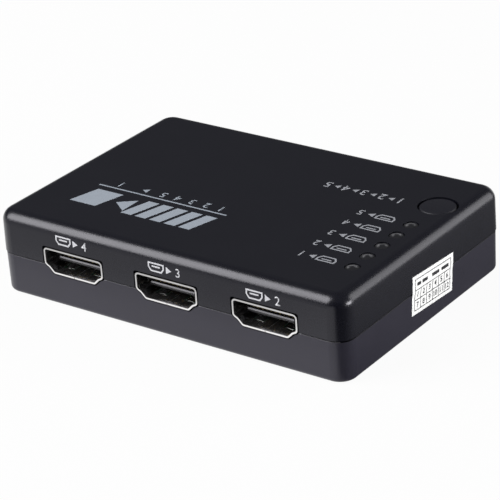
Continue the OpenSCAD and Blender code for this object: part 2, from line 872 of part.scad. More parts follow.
// Solder legs of one socket's shell, in the socket's own place
module socket_legs(g) {
    for (s = [-1, 1], y = [shell_leg_a, shell_leg_b])
        translate([s * (shell_out - port_sheet / 2) - port_sheet / 2 - g, y - shell_leg / 2 - g,
                -board_t - leg_out])
            cube([port_sheet + 2 * g, shell_leg + 2 * g,
                board_t + leg_out + mouth_high - port_side / 2]);
}

module socket_shell(p) {
    finger_y = port_deep - block_deep - finger_len;
    color(metal_colour)
        at_port(p)
            difference() {
                union() {
                    inward(0, port_deep)
                        polygon(bent(grown(mouth, port_sheet), port_bend + port_sheet));
                    socket_legs(0);
                }
                inward(-over, port_deep + over)
                    polygon(bent(mouth, port_bend));
                translate([-seam_w / 2, -over, -over])
                    cube([seam_w, port_deep + 2 * over, port_sheet + 2 * over]);
                for (s = [-1, 1], z = [0, mouth_high])
                    translate([s * finger_x, finger_y, z - over])
                        difference() {
                            translate([-finger_w / 2 - finger_slot, -finger_slot, 0])
                                cube([finger_w + 2 * finger_slot, finger_len + finger_slot,
                                    port_sheet + 2 * over]);
                            translate([-finger_w / 2, 0, -over])
                                cube([finger_w, finger_len + over, port_sheet + 4 * over]);
                        }
            }
}

// Side view of a contact, its bearing face at height z, its foot on the board
module contact_side(z0, z1) {
    tip = tongue_in + contact_in;
    polygon([
        [tip, z0],
        [contact_end - contact_t, z0],
        [contact_end - contact_t, 0],
        [contact_end + contact_foot, 0],
        [contact_end + contact_foot, contact_t],
        [contact_end, contact_t],
        [contact_end, z1],
        [tip, z1]
    ]);
}

// Nineteen contacts: ten on the upper face of the tongue, nine on the lower
module contact_set() {
    top = tongue_z + tongue_t + contact_proud;
    low = tongue_z - contact_proud;
    for (i = [0 : 9])
        translate([(i - 4.5) * contact_pitch - contact_w / 2, 0, 0])
            rotate([90, 0, 90])
                linear_extrude(contact_w)
                    contact_side(top - contact_t, top);
    for (i = [0 : 8])
        translate([(i - 4) * contact_pitch - contact_w / 2, 0, 0])
            rotate([90, 0, 90])
                linear_extrude(contact_w)
                    contact_side(low, low + contact_t);
}

module socket_contacts(p) {
    color(gold_colour)
        at_port(p)
            contact_set();
}

module socket_insulator(p) {
    top = tongue_z + tongue_t;
    color(dark_colour)
        at_port(p)
            difference() {
                union() {
                    inward(port_deep - block_deep, port_deep)
                        polygon(bent(mouth, port_bend));
                    translate([-tongue_w / 2, 0, 0])
                        rotate([90, 0, 90])
                            linear_extrude(tongue_w)
                                polygon([
                                    [tongue_in, tongue_z + tip_low],
                                    [tongue_in + tip_low, tongue_z],
                                    [port_deep - over, tongue_z],
                                    [port_deep - over, top],
                                    [tongue_in + tip_long, top],
                                    [tongue_in, top - tip_high]
                                ]);
                }
                contact_set();
            }
}

module select_button() {
    color(case_colour)
        translate([button_x, button_y, 0])
            difference() {
                rotate_extrude()
                    polygon([
                        [0, plunger_top],
                        [stem_r, plunger_top],
                        [stem_r, button_top - face_t],
                        [button_r - skirt_t, button_top - face_t],
                        [button_r - skirt_t, flange_top - flange_t],
                        [button_r + button_flange, flange_top - flange_t],
                        [button_r + button_flange, flange_top],
                        [button_r, flange_top],
                        [button_r, button_top - button_crown - button_bevel],
                        for (i = [crown_steps : -1 : 0])
                            [face_r * i / crown_steps, button_top - button_crown * pow(i / crown_steps, 2)]
                    ]);
                translate([button_r, -2 * button_r, flange_top - flange_t - over])
                    cube([2 * button_r, 4 * button_r, flange_t + 2 * over]);
            }
}

module at_switch() {
    translate([button_x, button_y, board_top])
        children();
}

module terminal_set() {
    for (sx = [-1, 1], sy = [-1, 1])
        translate([sx * terminal_x - terminal_w / 2,
                sy * (switch_w + terminal_len) / 2 - terminal_len / 2, 0])
            cube([terminal_w, terminal_len, terminal_t]);
}

module switch_terminals() {
    color(metal_colour)
        at_switch()
            terminal_set();
}

module switch_body() {
    color(dark_colour)
        at_switch()
            difference() {
                translate([-switch_w / 2, -switch_w / 2, 0])
                    cube([switch_w, switch_w, switch_base]);
                translate([0, 0, switch_floor])
                    cylinder(r = cavity_r, h = switch_base);
            }
}

module switch_frame() {
    color(metal_colour)
        at_switch()
            difference() {
                union() {
                    translate([-switch_w / 2, -switch_w / 2, switch_base])
                        cube([switch_w, switch_w, switch_cover]);
                    for (s = [-1, 1])
                        translate([s * (switch_w + switch_cover) / 2 - switch_cover / 2, -tab_w / 2,
                                switch_base - tab_drop])
                            cube([switch_cover, tab_w, tab_drop + switch_cover]);
                }
                translate([0, 0, switch_base - over])
                    cylinder(r = plunger_r + plunger_gap, h = switch_cover + 2 * over);
            }
}

module switch_plunger() {
    nub = switch_floor + dome_rise;
    color(dark_colour)
        at_switch()
            rotate_extrude()
                polygon([
                    [0, nub],
                    [nub_r, nub],
                    [nub_r, switch_base - collar_t],
                    [plunger_r + collar_out, switch_base - collar_t],
                    [plunger_r + collar_out, switch_base],
                    [plunger_r, switch_base],
                    [plunger_r, switch_high],
                    [0, switch_high]
                ]);
}

// Thin domed spring, part of a sphere, its rim on the switch's floor
module switch_dome() {
    ball = (dome_r * dome_r + dome_rise * dome_rise) / (2 * dome_rise);
    color(copper_colour)
        translate([button_x, button_y, dome_z])
            rotate_extrude()
                intersection() {
                    translate([0, dome_rise - ball])
                        difference() {
                            circle(ball);
                            circle(ball - dome_t);
                        }
                    square([dome_r + over, dome_rise + over]);
                }
}

module lamp(i) {
    shoulder = led_top - led_crown;
    bow_r = (led_r * led_r + led_crown * led_crown) / (2 * led_crown);
    color(lamp_colour)
        at_lamp(i)
            difference() {
                rotate_extrude() {
                    translate([0, led_foot])
                        square([led_r + led_collar, led_collar_t]);
                    translate([0, led_foot])
                        square([led_r, led_high - led_crown]);
                    intersection() {
                        translate([0, led_top - bow_r])
                            circle(bow_r);
                        translate([0, shoulder])
                            square([led_r, led_crown]);
                    }
                }
                lead_pair(0);
            }
}

module lamp_leads() {
    color(metal_colour)
        for (i = [1 : 5])
            at_lamp(i)
                lead_pair(0);
}

// Spring strip at the foot of the power socket's bore, with its legs
module power_strip() {
    translate([jack_body + power_len / 2 - strip_len / 2, power_y - strip_w / 2, strip_top - strip_t])
        cube([strip_len, strip_w, strip_t]);
    power_legs(0);
}

module power_body() {
    color(dark_colour)
        difference() {
            translate([jack_face, power_y - power_w / 2, board_top])
                cube([jack_body - jack_face + power_len, power_w, power_h]);
            translate([jack_face - over, power_y, power_z])
                rotate([0, 90, 0])
                    cylinder(r = power_bore_r, h = power_deep + over);
            power_pin_shape();
            power_strip();
        }
}

// Pin with a bevelled tip and a thicker root inside the socket's back
module power_pin_shape() {
    bore_end = power_deep - power_pin_in;
    root_end = jack_body + power_len - jack_face - power_pin_in;
    translate([jack_face + power_pin_in, power_y, power_z])
        rotate([0, 90, 0])
            rotate_extrude()
                polygon([
                    [0, 0],
                    [power_pin_r - power_pin_tip, 0],
                    [power_pin_r, power_pin_tip],
                    [power_pin_r, bore_end],
                    [power_root_r, bore_end],
                    [power_root_r, root_end],
                    [0, root_end]
                ]);
}

module power_pin() {
    color(metal_colour)
        power_pin_shape();
}

module power_contacts() {
    color(copper_colour)
        difference() {
            power_strip();
            power_pin_shape();
        }
}

// Two spring strips beside the remote socket's bore, with their legs
module remote_strips() {
    for (s = [-1, 1])
        translate([jack_body + remote_len - over - strip_len, s * strip_y - remote_y - strip_t / 2,
                remote_z - strip_w / 2])
            cube([strip_len, strip_t, strip_w]);
    remote_legs(0);
}

module bush_shape() {
    translate([jack_face, -remote_y, remote_z])
        rotate([0, 90, 0])
            cylinder(r = remote_bush_r, h = jack_body - jack_face + bush_in);
}

module remote_bore() {
    translate([jack_face - over, -remote_y, remote_z])
        rotate([0, 90, 0])
            cylinder(r = remote_bore_r, h = remote_deep + over);
}

module remote_body() {
    color(dark_colour)
        difference() {
            translate([jack_face, -remote_y - remote_w / 2, board_top])
                cube([jack_body - jack_face + remote_len, remote_w, remote_h]);
            bush_shape();
            remote_bore();
            remote_strips();
        }
}

module remote_bush() {
    color(metal_colour)
        difference() {
            bush_shape();
            remote_bore();
        }
}

module remote_contacts() {
    color(copper_colour)
        remote_strips();
}

// Side view of a bent pin, from inside its chip out to the board
module pin_side() {
    polygon([
        [-pin_in, pin_rise - pin_t / 2],
        [pin_out * 0.2, pin_rise - pin_t / 2],
        [pin_out * 0.4, 0],
        [pin_out, 0],
        [pin_out, pin_t],
        [pin_out * 0.5, pin_t],
        [pin_out * 0.3, pin_rise + pin_t / 2],
        [-pin_in, pin_rise + pin_t / 2]
    ]);
}

// Row of pins along one side of a chip, the side facing +X at distance half
module pin_row(half, count, pitch, width) {
    for (i = [0 : count - 1])
        translate([half, (i - (count - 1) / 2) * pitch + width / 2, 0])
            rotate([90, 0, 0])
                linear_extrude(width)
                    pin_side();
}

module at_chip() {
    translate([port_shift, 0, board_top])
        children();
}

module chip_pin_set() {
    for (turn = [0 : 90 : 270])
        rotate(turn)
            pin_row(chip_w / 2, chip_pins, chip_pitch, chip_pin_w);
}

module switch_chip() {
    color(dark_colour)
        at_chip()
            difference() {
                translate([-chip_w / 2, -chip_w / 2, chip_stand])
                    cube([chip_w, chip_w, chip_t]);
                chip_pin_set();
            }
}

module switch_chip_pins() {
    color(metal_colour)
        at_chip()
            chip_pin_set();
}

module at_logic() {
    translate([port_shift + logic_x, 0, board_top])
        children();
}

module logic_pin_set() {
    for (turn = [0, 180])
        rotate(turn)
            pin_row(logic_w / 2, logic_pins, logic_pitch, logic_pin_w);
}

module control_chip() {
    color(dark_colour)
        at_logic()
            difference() {
                translate([-logic_w / 2, -logic_len / 2, chip_stand])
                    cube([logic_w, logic_len, logic_t]);
                logic_pin_set();
            }
}

module control_chip_pins() {
    color(metal_colour)
        at_logic()
            logic_pin_set();
}

module at_regulator() {
    translate([-reg_x, reg_y, board_top])
        children();
}

module reg_pin_set() {
    pin_row(reg_w / 2, 3, reg_pitch, reg_pin_w);
    rotate(180)
        pin_row(reg_w / 2, 1, reg_pitch, reg_tab_w);
}

module regulator() {
    color(dark_colour)
        at_regulator()
            difference() {
                translate([-reg_w / 2, -reg_len / 2, chip_stand])
                    cube([reg_w, reg_len, reg_t]);
                reg_pin_set();
            }
}

module regulator_pins() {
    color(metal_colour)
        at_regulator()
            reg_pin_set();
}

// Upright can with half-round ends
module stadium(length, width, high) {
    linear_extrude(high) {
        square([length - width, width], center = true);
        for (s = [-1, 1])
            translate([s * (length - width) / 2, 0])
                circle(width / 2);
    }
}

module crystal() {
    color(metal_colour)
        translate([crystal_x, crystal_y, board_top]) {
            stadium(crystal_len + 2 * crystal_rim, crystal_w + 2 * crystal_rim, crystal_rim_h);
            stadium(crystal_len, crystal_w, crystal_h);
        }
}

module at_cans() {
    for (s = [-1, 1])
        translate([-can_x, s * can_y, board_top])
            children();
}

module capacitor_feet() {
    side = 2 * (can_r + can_rim);
    color(dark_colour)
        at_cans()
            translate([-side / 2, -side / 2, 0])
                cube([side, side, can_foot]);
}

module filter_capacitors() {
    color(metal_colour)
        at_cans()
            translate([0, 0, can_foot])
                cylinder(r = can_r, h = can_h - can_foot);
}

module chip_resistors() {
    color(dark_colour)
        for (p = PORTS, i = [0 : 7])
            translate([port_shift + p[0] * port_pitch + (i - 3.5) * smd_pitch - smd_w / 2,
                    p[1] * resistor_y - smd_len / 2, board_top])
                cube([smd_w, smd_len, resistor_t]);
}

module chip_capacitors() {
    reach = chip_w / 2 + pin_out + capacitor_gap;
    color(copper_colour)
        for (s = [-1, 1], i = [0 : 4])
            translate([port_shift + s * (reach + smd_len / 2) - smd_len / 2,
                    (i - 2) * smd_pitch - smd_w / 2, board_top])
                cube([smd_len, smd_w, capacitor_t]);
}

// Paper label on the end face, bent over the step between the covers
module date_label() {
    mid_z = parting_z - label_drop;
    high_z = mid_z + label_high;
    low_z = mid_z - label_high;
    face = case_len / 2;
    bend = [
        [face - (high_z - parting_z) * tan(top_draft), high_z],
        [face - reveal_high * tan(top_draft), parting_z + reveal_high],
        [face - parting_step - label_bridge * tan(base_draft), parting_z - label_bridge],
        [face - parting_step - (parting_z - low_z) * tan(base_draft), low_z]
    ];
    color(paper_colour)
        intersection() {
            translate([0, label_y + label_len, 0])
                rotate([90, 0, 0])
                    linear_extrude(2 * label_len)
                        polygon([
                            bend[0],
                            bend[1],
                            bend[2],
                            bend[3],
                            bend[3] + [label_t, 0],
                            bend[2] + [label_t, 0],
                            bend[1] + [label_t, 0],
                            bend[0] + [label_t, 0]
                        ]);
            translate([face, label_y, mid_z])
                rotate([label_lean, 0, 0])
                    cube([4 * parting_step + label_len, label_len, label_high], center = true);
        }
}

top_cover();
bottom_cover();
case_screws();
date_label();
select_button();
switch_body();
switch_frame();
switch_plunger();
switch_dome();
switch_terminals();
lamp(1);  // led_1
lamp(2);  // led_2
lamp(3);  // led_3
lamp(4);  // led_4
lamp(5);  // led_5
lamp_leads();  // led_leads
circuit_board();
board_screws();
switch_chip();
switch_chip_pins();
control_chip();
control_chip_pins();
regulator();
regulator_pins();
crystal();
capacitor_feet();
filter_capacitors();
chip_resistors();
chip_capacitors();
socket_shell(PORTS[0]);  // shell_in1
socket_shell(PORTS[1]);  // shell_in2
socket_shell(PORTS[2]);  // shell_in3
socket_shell(PORTS[3]);  // shell_in4
socket_shell(PORTS[4]);  // shell_in5
socket_shell(PORTS[5]);  // shell_out
socket_insulator(PORTS[0]);  // insulator_in1
socket_insulator(PORTS[1]);  // insulator_in2
socket_insulator(PORTS[2]);  // insulator_in3
socket_insulator(PORTS[3]);  // insulator_in4
socket_insulator(PORTS[4]);  // insulator_in5
socket_insulator(PORTS[5]);  // insulator_out
socket_contacts(PORTS[0]);  // contacts_in1
socket_contacts(PORTS[1]);  // contacts_in2
socket_contacts(PORTS[2]);  // contacts_in3
socket_contacts(PORTS[3]);  // contacts_in4
socket_contacts(PORTS[4]);  // contacts_in5
socket_contacts(PORTS[5]);  // contacts_out
power_body();
power_pin();
power_contacts();
remote_body();
remote_bush();
remote_contacts();
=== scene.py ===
"""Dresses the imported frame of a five-to-one video switch box: finishes, printed marks, label and studio."""
import math

import bmesh
import bpy
from bpy.props import FloatProperty, FloatVectorProperty, PointerProperty
from bpy.types import Operator, Panel, PropertyGroup
from mathutils import Matrix, Vector


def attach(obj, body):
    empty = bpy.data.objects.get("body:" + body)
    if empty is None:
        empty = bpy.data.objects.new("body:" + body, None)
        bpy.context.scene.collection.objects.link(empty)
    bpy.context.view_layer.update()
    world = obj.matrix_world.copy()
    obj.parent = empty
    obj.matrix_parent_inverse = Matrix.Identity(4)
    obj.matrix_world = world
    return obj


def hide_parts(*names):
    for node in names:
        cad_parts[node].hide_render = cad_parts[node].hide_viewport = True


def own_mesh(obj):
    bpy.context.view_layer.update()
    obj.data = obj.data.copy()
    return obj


bl_info = {
    "name": "Video Switch Box",
    "version": (1, 0, 0),
    "blender": (4, 5, 0),
    "location": "View3D > Sidebar > Switch Box",
    "description": "Finishes, printed marks, label and studio for a small video switch box",
    "category": "Object",
}

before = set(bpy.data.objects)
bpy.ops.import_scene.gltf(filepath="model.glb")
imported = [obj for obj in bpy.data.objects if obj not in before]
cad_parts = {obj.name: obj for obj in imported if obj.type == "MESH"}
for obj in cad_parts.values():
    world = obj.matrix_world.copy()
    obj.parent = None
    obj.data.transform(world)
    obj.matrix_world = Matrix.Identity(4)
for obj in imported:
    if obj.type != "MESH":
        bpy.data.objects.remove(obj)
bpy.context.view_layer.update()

MM = 0.001
CASE = "case"
SOCKETS = ("in1", "in2", "in3", "in4", "in5", "out")
INPUTS = 5

# Sizes of the case that the finishes and marks follow, in millimetres, as in the part's source
HALF_LEN, HALF_WID, HIGH = 41.5, 28.6, 17.8
PARTING_Z, PARTING_STEP, REVEAL_HIGH = 8.6, 0.15, 0.3
TOP_DRAFT, BASE_DRAFT = math.radians(1.0), math.radians(0.5)
PORT_SHIFT, PORT_PITCH, PORT_WAIST = 0.92, 22.86, 9.65
LAMP_X, LAMP_ROW, LAMP_PITCH = 35.45, -6.02, 5.08
LABEL_Y, LABEL_DROP, LABEL_LEAN = 1.68, 0.9, math.radians(-3.5)
LABEL_LEN, LABEL_HIGH, LABEL_T, LABEL_BRIDGE = 14.6, 8.0, 0.1, 0.8
POWER_Y, REMOTE_Y = 7.5, -7.5

# Colours of the metals and small parts that show little or not at all
ZINC, TIN, CAN = (0.42, 0.42, 0.44), (0.66, 0.66, 0.66), (0.72, 0.72, 0.73)
BRONZE, SPRING = (0.66, 0.45, 0.24), (0.66, 0.5, 0.28)
EPOXY, PART_BLACK = (0.016, 0.016, 0.017), (0.014, 0.014, 0.015)
CERAMIC, RESISTOR = (0.32, 0.25, 0.17), (0.02, 0.02, 0.024)
SOLDER_MASK, MASKED_COPPER = (0.006, 0.036, 0.019), (0.02, 0.075, 0.034)
# Colours of the lamps (dark resin, and the pale of the reflector cup with its painted reflection), the paper
# and its print
LAMP_DARK, LAMP_CUP_AND_REFLECTION = (0.012, 0.012, 0.015), (0.21, 0.21, 0.22)
PAPER, LABEL_INK = (0.91, 0.91, 0.90), (0.03, 0.03, 0.034)

# Places of the colour sockets on a Mix node
MIX_LOW, MIX_HIGH, MIX_OUT = 6, 7, 2


class Sock:
    """A node's output socket. Arithmetic on it adds Math nodes to the same tree."""

    def __init__(self, socket):
        self.socket = socket
        self.tree = socket.id_data

    @classmethod
    def make(cls, tree, kind, settings=None, inputs=None, out=0):
        """Adds any node: its settings first, then the values or links of its sockets."""
        node = tree.nodes.new(kind)
        for key, value in (settings or {}).items():
            setattr(node, key, value)
        for key, value in (inputs or {}).items():
            if isinstance(value, cls):
                tree.links.new(value.socket, node.inputs[key])
            else:
                node.inputs[key].default_value = value
        return cls(node.outputs[out])

    def _math(self, operation, *terms):
        settings = {"operation": operation}
        return Sock.make(self.tree, "ShaderNodeMath", settings, dict(enumerate(terms)))

    def __add__(self, other):
        return self._math("ADD", self, other)

    def __radd__(self, other):
        return self._math("ADD", other, self)

    def __sub__(self, other):
        return self._math("SUBTRACT", self, other)

    def __rsub__(self, other):
        return self._math("SUBTRACT", other, self)

    def __mul__(self, other):
        return self._math("MULTIPLY", self, other)

    def __rmul__(self, other):
        return self._math("MULTIPLY", other, self)

    def __truediv__(self, other):
        return self._math("DIVIDE", self, other)

    def __rtruediv__(self, other):
        return self._math("DIVIDE", other, self)

    def __abs__(self):
        return self._math("ABSOLUTE", self)

    def rounded(self):
        """The nearest whole number."""
        return self._math("ROUND", self)

    def root(self):
        """The square root."""
        return self._math("SQRT", self)

    def above(self, edge):
        """One where the value is above the edge, and nought elsewhere."""
        return self._math("GREATER_THAN", self, edge)

    def larger(self, other):
        """The larger of two values."""
        return self._math("MAXIMUM", self, other)

    def clipped(self):
        """The value, held between nought and one."""
        floored = self.larger(0.0)
        return floored._math("MINIMUM", floored, 1.0)

    def swing(self, amount):
        """How far a noise is from its middle, times an amount."""
        return (self - 0.5) * amount


class Finish:
    """One material: a Principled shader whose varying sockets are linked and the rest set as numbers."""

    def __init__(self, name, **constants):
        self.material = bpy.data.materials.new(name)
        self.material.use_nodes = True
        self.tree = self.material.node_tree
        self.shader = self.tree.nodes["Principled BSDF"]
        for key, value in constants.items():
            self.shader.inputs[key.replace("_", " ")].default_value = value
        self.place = self.add("ShaderNodeTexCoord", out="Object")

    def add(self, kind, settings=None, inputs=None, out=0):
        """Adds any node to this material."""
        return Sock.make(self.tree, kind, settings, inputs, out)

    def noise(self, grain_mm, detail=2.0, stretch=(1.0, 1.0, 1.0)):
        """Noise from 0 to 1 whose features are about grain_mm across."""
        scaled = self.add("ShaderNodeMapping", None, {"Vector": self.place, "Scale": stretch})
        inputs = {"Vector": scaled, "Scale": 1.0 / (grain_mm * MM), "Detail": detail}
        return self.add("ShaderNodeTexNoise", None, inputs, "Fac")

    def along(self, axis):
        """One coordinate of the shaded point, in millimetres."""
        return self.add("ShaderNodeSeparateXYZ", None, {"Vector": self.place}, axis) / MM

    def blend(self, factor, low, high):
        """Colour between low and high by factor."""
        low, high = (end if isinstance(end, Sock) else (*end, 1.0) for end in (low, high))
        inputs = {"Factor": factor, MIX_LOW: low, MIX_HIGH: high}
        return self.add("ShaderNodeMix", {"data_type": "RGBA"}, inputs, MIX_OUT)

    def link(self, **sockets):
        """Feeds the shader's sockets that change over the surface."""
        for key, value in sockets.items():
            self.tree.links.new(value.socket, self.shader.inputs[key.replace("_", " ")])

    def bump(self, height, depth_mm, strength=1.0):
        """Roughens the surface by a height from 0 to 1 that stands for a depth."""
        inputs = {"Height": height, "Distance": depth_mm * MM, "Strength": strength}
        self.link(Normal=self.add("ShaderNodeBump", None, inputs, "Normal"))


def shade(colour, factor):
    """The colour, made darker or lighter by a factor."""
    return tuple(min(1.0, channel * factor) for channel in colour)


# Gloss of the black plastic is slightly cool
COOL = (0.95, 0.935, 1.0, 1.0)
# The bevel round the bottom cover's rim: its drop, and the depth of the long sides' band, in millimetres
RIM_DROP, RIM_BAND = 0.1, 1.0
# The bevel's colour: a painted highlight on the long sides, and painted shade at the ends
RIM_PAINTED_HIGHLIGHT, RIM_PAINTED_SHADE = (0.075, 0.073, 0.082), (0.002, 0.002, 0.003)
# The matt face of the top: how far below the highest point it starts, in millimetres, and its added roughness
MATT_DROP, MATT_ROUGH = 0.12, 0.34


def moulded(name, colour, rough, grain_mm, depth_mm, rim=False, matt=None):
    """Moulded plastic with a fine grain and faint clouds.

    A rim's bevel gets a painted highlight on the long sides and painted shade at the ends.
    A top has a matt face, of the colour given, inside its worn edge.
    """
    cloud_grains, cloud_tone, cloud_rough, grain_rough = 60.0, 0.12, 0.10, 0.08
    finish = Finish(name, Specular_Tint=COOL)
    grain = finish.noise(grain_mm, detail=3.0)
    cloud = finish.noise(grain_mm * cloud_grains)
    tone = finish.blend(cloud, shade(colour, 1.0 - cloud_tone), shade(colour, 1.0 + cloud_tone))
    if rim:
        # Painted highlight on the rim's bevel along the long sides, and painted shade on it at the ends
        long_side = abs(finish.along("Y")).above(HALF_WID - RIM_BAND)
        bevel = finish.along("Z").above(PARTING_Z - RIM_DROP)
        tone = finish.blend(bevel, tone, finish.blend(long_side, RIM_PAINTED_SHADE, RIM_PAINTED_HIGHLIGHT))
    if matt is not None:
        face = ((finish.along("Z") - (HIGH - MATT_DROP)) / MATT_DROP).clipped()
        tone = finish.blend(face, tone, matt)
        rough = rough + face * MATT_ROUGH
    finish.link(Base_Color=tone, Roughness=rough + cloud.swing(cloud_rough) + grain.swing(grain_rough))
    finish.bump(grain, depth_mm)
    return finish.material


def plated(name, colour, rough, lay=(1.0, 1.0, 1.0), painted_highlight_below=None):
    """Plated sheet metal with rolling marks and slight stains, and a painted highlight below a height if one
    is given.
    """
    roll_mm, roll_depth, roll_rough = 0.35, 0.004, 0.14
    stain_mm, stain_tone, stain_rough = 4.0, 0.88, 0.06
    painted_highlight_tone = 1.18
    finish = Finish(name, Metallic=1.0)
    rolled = finish.noise(roll_mm, detail=3.0, stretch=lay)
    stain = finish.noise(stain_mm, detail=3.0)
    tone = finish.blend(stain, shade(colour, stain_tone), colour)
    # Painted highlight: the metal is painted paler below the given height
    if painted_highlight_below is not None:
        tone = finish.blend((painted_highlight_below - finish.along("Z")).clipped(), tone, shade(colour, painted_highlight_tone))
    finish.link(Base_Color=tone, Roughness=rough + rolled.swing(roll_rough) + stain.swing(stain_rough))
    finish.bump(rolled, roll_depth)
    return finish.material


def printed(name, colour, rough):
    """Screen-printed ink: small pinholes and slightly uneven cover."""
    grain_mm, thin, full, cover_rough, depth_mm = 0.28, 0.80, 1.08, 0.2, 0.006
    finish = Finish(name, Specular_IOR_Level=0.35)
    cover = finish.noise(grain_mm)
    tone = finish.blend(cover, shade(colour, thin), shade(colour, full))
    finish.link(Base_Color=tone, Roughness=rough + cover.swing(cover_rough))
    finish.bump(cover, depth_mm)
    return finish.material


def laminate(name, mask, copper):
    """Circuit board: solder mask over copper tracks, with a faint weave."""
    cells_per_m, uneven, track_edge = 420.0, 0.85, 0.42
    track_show, track_depth, track_strength = 0.55, 0.02, 0.6
    fibre_mm, fibre_show, rough, fibre_rough = 0.25, 0.25, 0.32, 0.12
    finish = Finish(name, Specular_IOR_Level=0.5)
    inputs = {"Vector": finish.place, "Scale": cells_per_m, "Randomness": uneven}
    centre = finish.add("ShaderNodeTexVoronoi", {"distance": "CHEBYCHEV"}, inputs, "Distance")
    track = centre.above(track_edge)
    fibre = finish.noise(fibre_mm)
    tone = finish.blend(track * track_show + fibre * fibre_show, mask, copper)
    finish.link(Base_Color=tone, Roughness=rough + fibre * fibre_rough)
    finish.bump(track, track_depth, track_strength)
    return finish.material


def paper(name, colour):
    """Coated paper with a faint fibre."""
    fibre_mm, thin, full, depth_mm = 0.12, 0.94, 1.02, 0.006
    rough, fibre_rough = 0.55, 0.2
    finish = Finish(name, Specular_IOR_Level=0.3)
    fibre = finish.noise(fibre_mm, detail=4.0)
    tone = finish.blend(fibre, shade(colour, thin), shade(colour, full))
    finish.link(Base_Color=tone, Roughness=rough + fibre * fibre_rough)
    finish.bump(fibre, depth_mm)
    return finish.material


# Reflector cup of a lamp in millimetres: its radius, half the width of its rim, and the way the gap in its
# painted reflection faces
CUP_R, CUP_LINE, REFLECTION_GAP_WAY = 0.76, 0.36, (0.6, -0.8)


def resin(name, dark, pale):
    """Smoke-tinted lamp resin, unlit, with a pale ring: partly the reflector cup showing through, partly a
    painted reflection, open on one side and broken into patches.
    """
    haze_mm, rough, haze_rough = 0.7, 0.32, 0.1
    ring_full, gap_start, gap_slope, patch_slope, patch_start = 1.2, 1.1, 1.7, 2.2, 0.5
    finish = Finish(name, Specular_IOR_Level=0.6)
    across = finish.along("X") - LAMP_X
    row = finish.along("Y") - LAMP_ROW
    along = row - (row / LAMP_PITCH).rounded() * LAMP_PITCH
    reach = (across * across + along * along).root()
    facing = (across * REFLECTION_GAP_WAY[0] + along * REFLECTION_GAP_WAY[1]) / reach
    haze = finish.noise(haze_mm)
    ring = (ring_full - abs(reach - CUP_R) / CUP_LINE).clipped()
    # The ring's gap on one side and its patches are a painted reflection
    opened = (gap_start - facing * gap_slope).clipped()
    patches = (haze * patch_slope - patch_start).clipped()
    tone = finish.blend(ring * opened * patches, dark, pale)
    finish.link(Base_Color=tone, Roughness=rough + haze * haze_rough)
    return finish.material


def dress(material, *nodes):
    """Gives CAD nodes their material."""
    for name in nodes:
        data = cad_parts[name].data
        data.materials.clear()
        data.materials.append(material)


class Face:
    """A flat place on the box: a point in millimetres with a right and an up direction."""

    def __init__(self, origin, right, up):
        self.origin = Vector(origin)
        self.right = Vector(right).normalized()
        self.up = Vector(up).normalized()
        self.out = self.right.cross(self.up)

    def at(self, u, v, w=0.0):
        """The point u to the right, v up and w out, in metres."""
        return (self.origin + self.right * u + self.up * v + self.out * w) * MM


# Ink stands this far into and out of the surface, in millimetres
INK_IN, INK_OUT = 0.01, 0.012
# How much the typeface's strokes are thickened, as a share of its size, on the case and on the label
BOLD, LABEL_BOLD = 0.006, 0.018
# Steps in each curve of a digit, and the distance at which its points are joined, as a share of its size
DIGIT_STEPS, DIGIT_WELD = 4, 1e-5


def plate(bm, face, outline):
    """Thin closed plate of ink with the given outline, counter-clockwise, in millimetres on the face."""
    low = [bm.verts.new(face.at(u, v, -INK_IN)) for u, v in outline]
    high = [bm.verts.new(face.at(u, v, INK_OUT)) for u, v in outline]
    bm.faces.new(list(reversed(low)))
    bm.faces.new(high)
    count = len(outline)
    for i in range(count):
        j = (i + 1) % count
        bm.faces.new((low[i], low[j], high[j], high[i]))


def band(bm, face, inner, outer, closed=True):
    """Thin closed ring or strip of ink between two outlines with the same number of points."""
    def row(points, w):
        return [bm.verts.new(face.at(u, v, w)) for u, v in points]
    a, b, c, d = row(inner, -INK_IN), row(outer, -INK_IN), row(outer, INK_OUT), row(inner, INK_OUT)
    count = len(inner)
    for i in range(count if closed else count - 1):
        j = (i + 1) % count
        for p, q in ((a, b), (b, c), (c, d), (d, a)):
            bm.faces.new((p[i], q[i], q[j], p[j]))
    if not closed:
        for i, turn in ((0, 1), (count - 1, -1)):
            bm.faces.new([r[i] for r in (d, c, b, a)][::turn])


def disc(radius, u=0.0, steps=20, start=0.0, sweep=2 * math.pi, ends=False):
    """Points of a circle, or of an arc with both its ends, about a middle that is u to the right."""
    turns = [start + sweep * i / steps for i in range(steps + 1 if ends else steps)]
    return [(u + radius * math.cos(turn), radius * math.sin(turn)) for turn in turns]


def rectangle(u0, v0, u1, v1):
    """Corners of an upright oblong."""
    return [(u0, v0), (u1, v0), (u1, v1), (u0, v1)]


def bar(u, v, wide, high, lean=0.0):
    """Corners of an oblong about a middle, its head to the right of its foot by the lean."""
    foot, head = u - lean / 2, u + lean / 2
    return [(foot - wide / 2, v - high / 2), (foot + wide / 2, v - high / 2),
            (head + wide / 2, v + high / 2), (head - wide / 2, v + high / 2)]


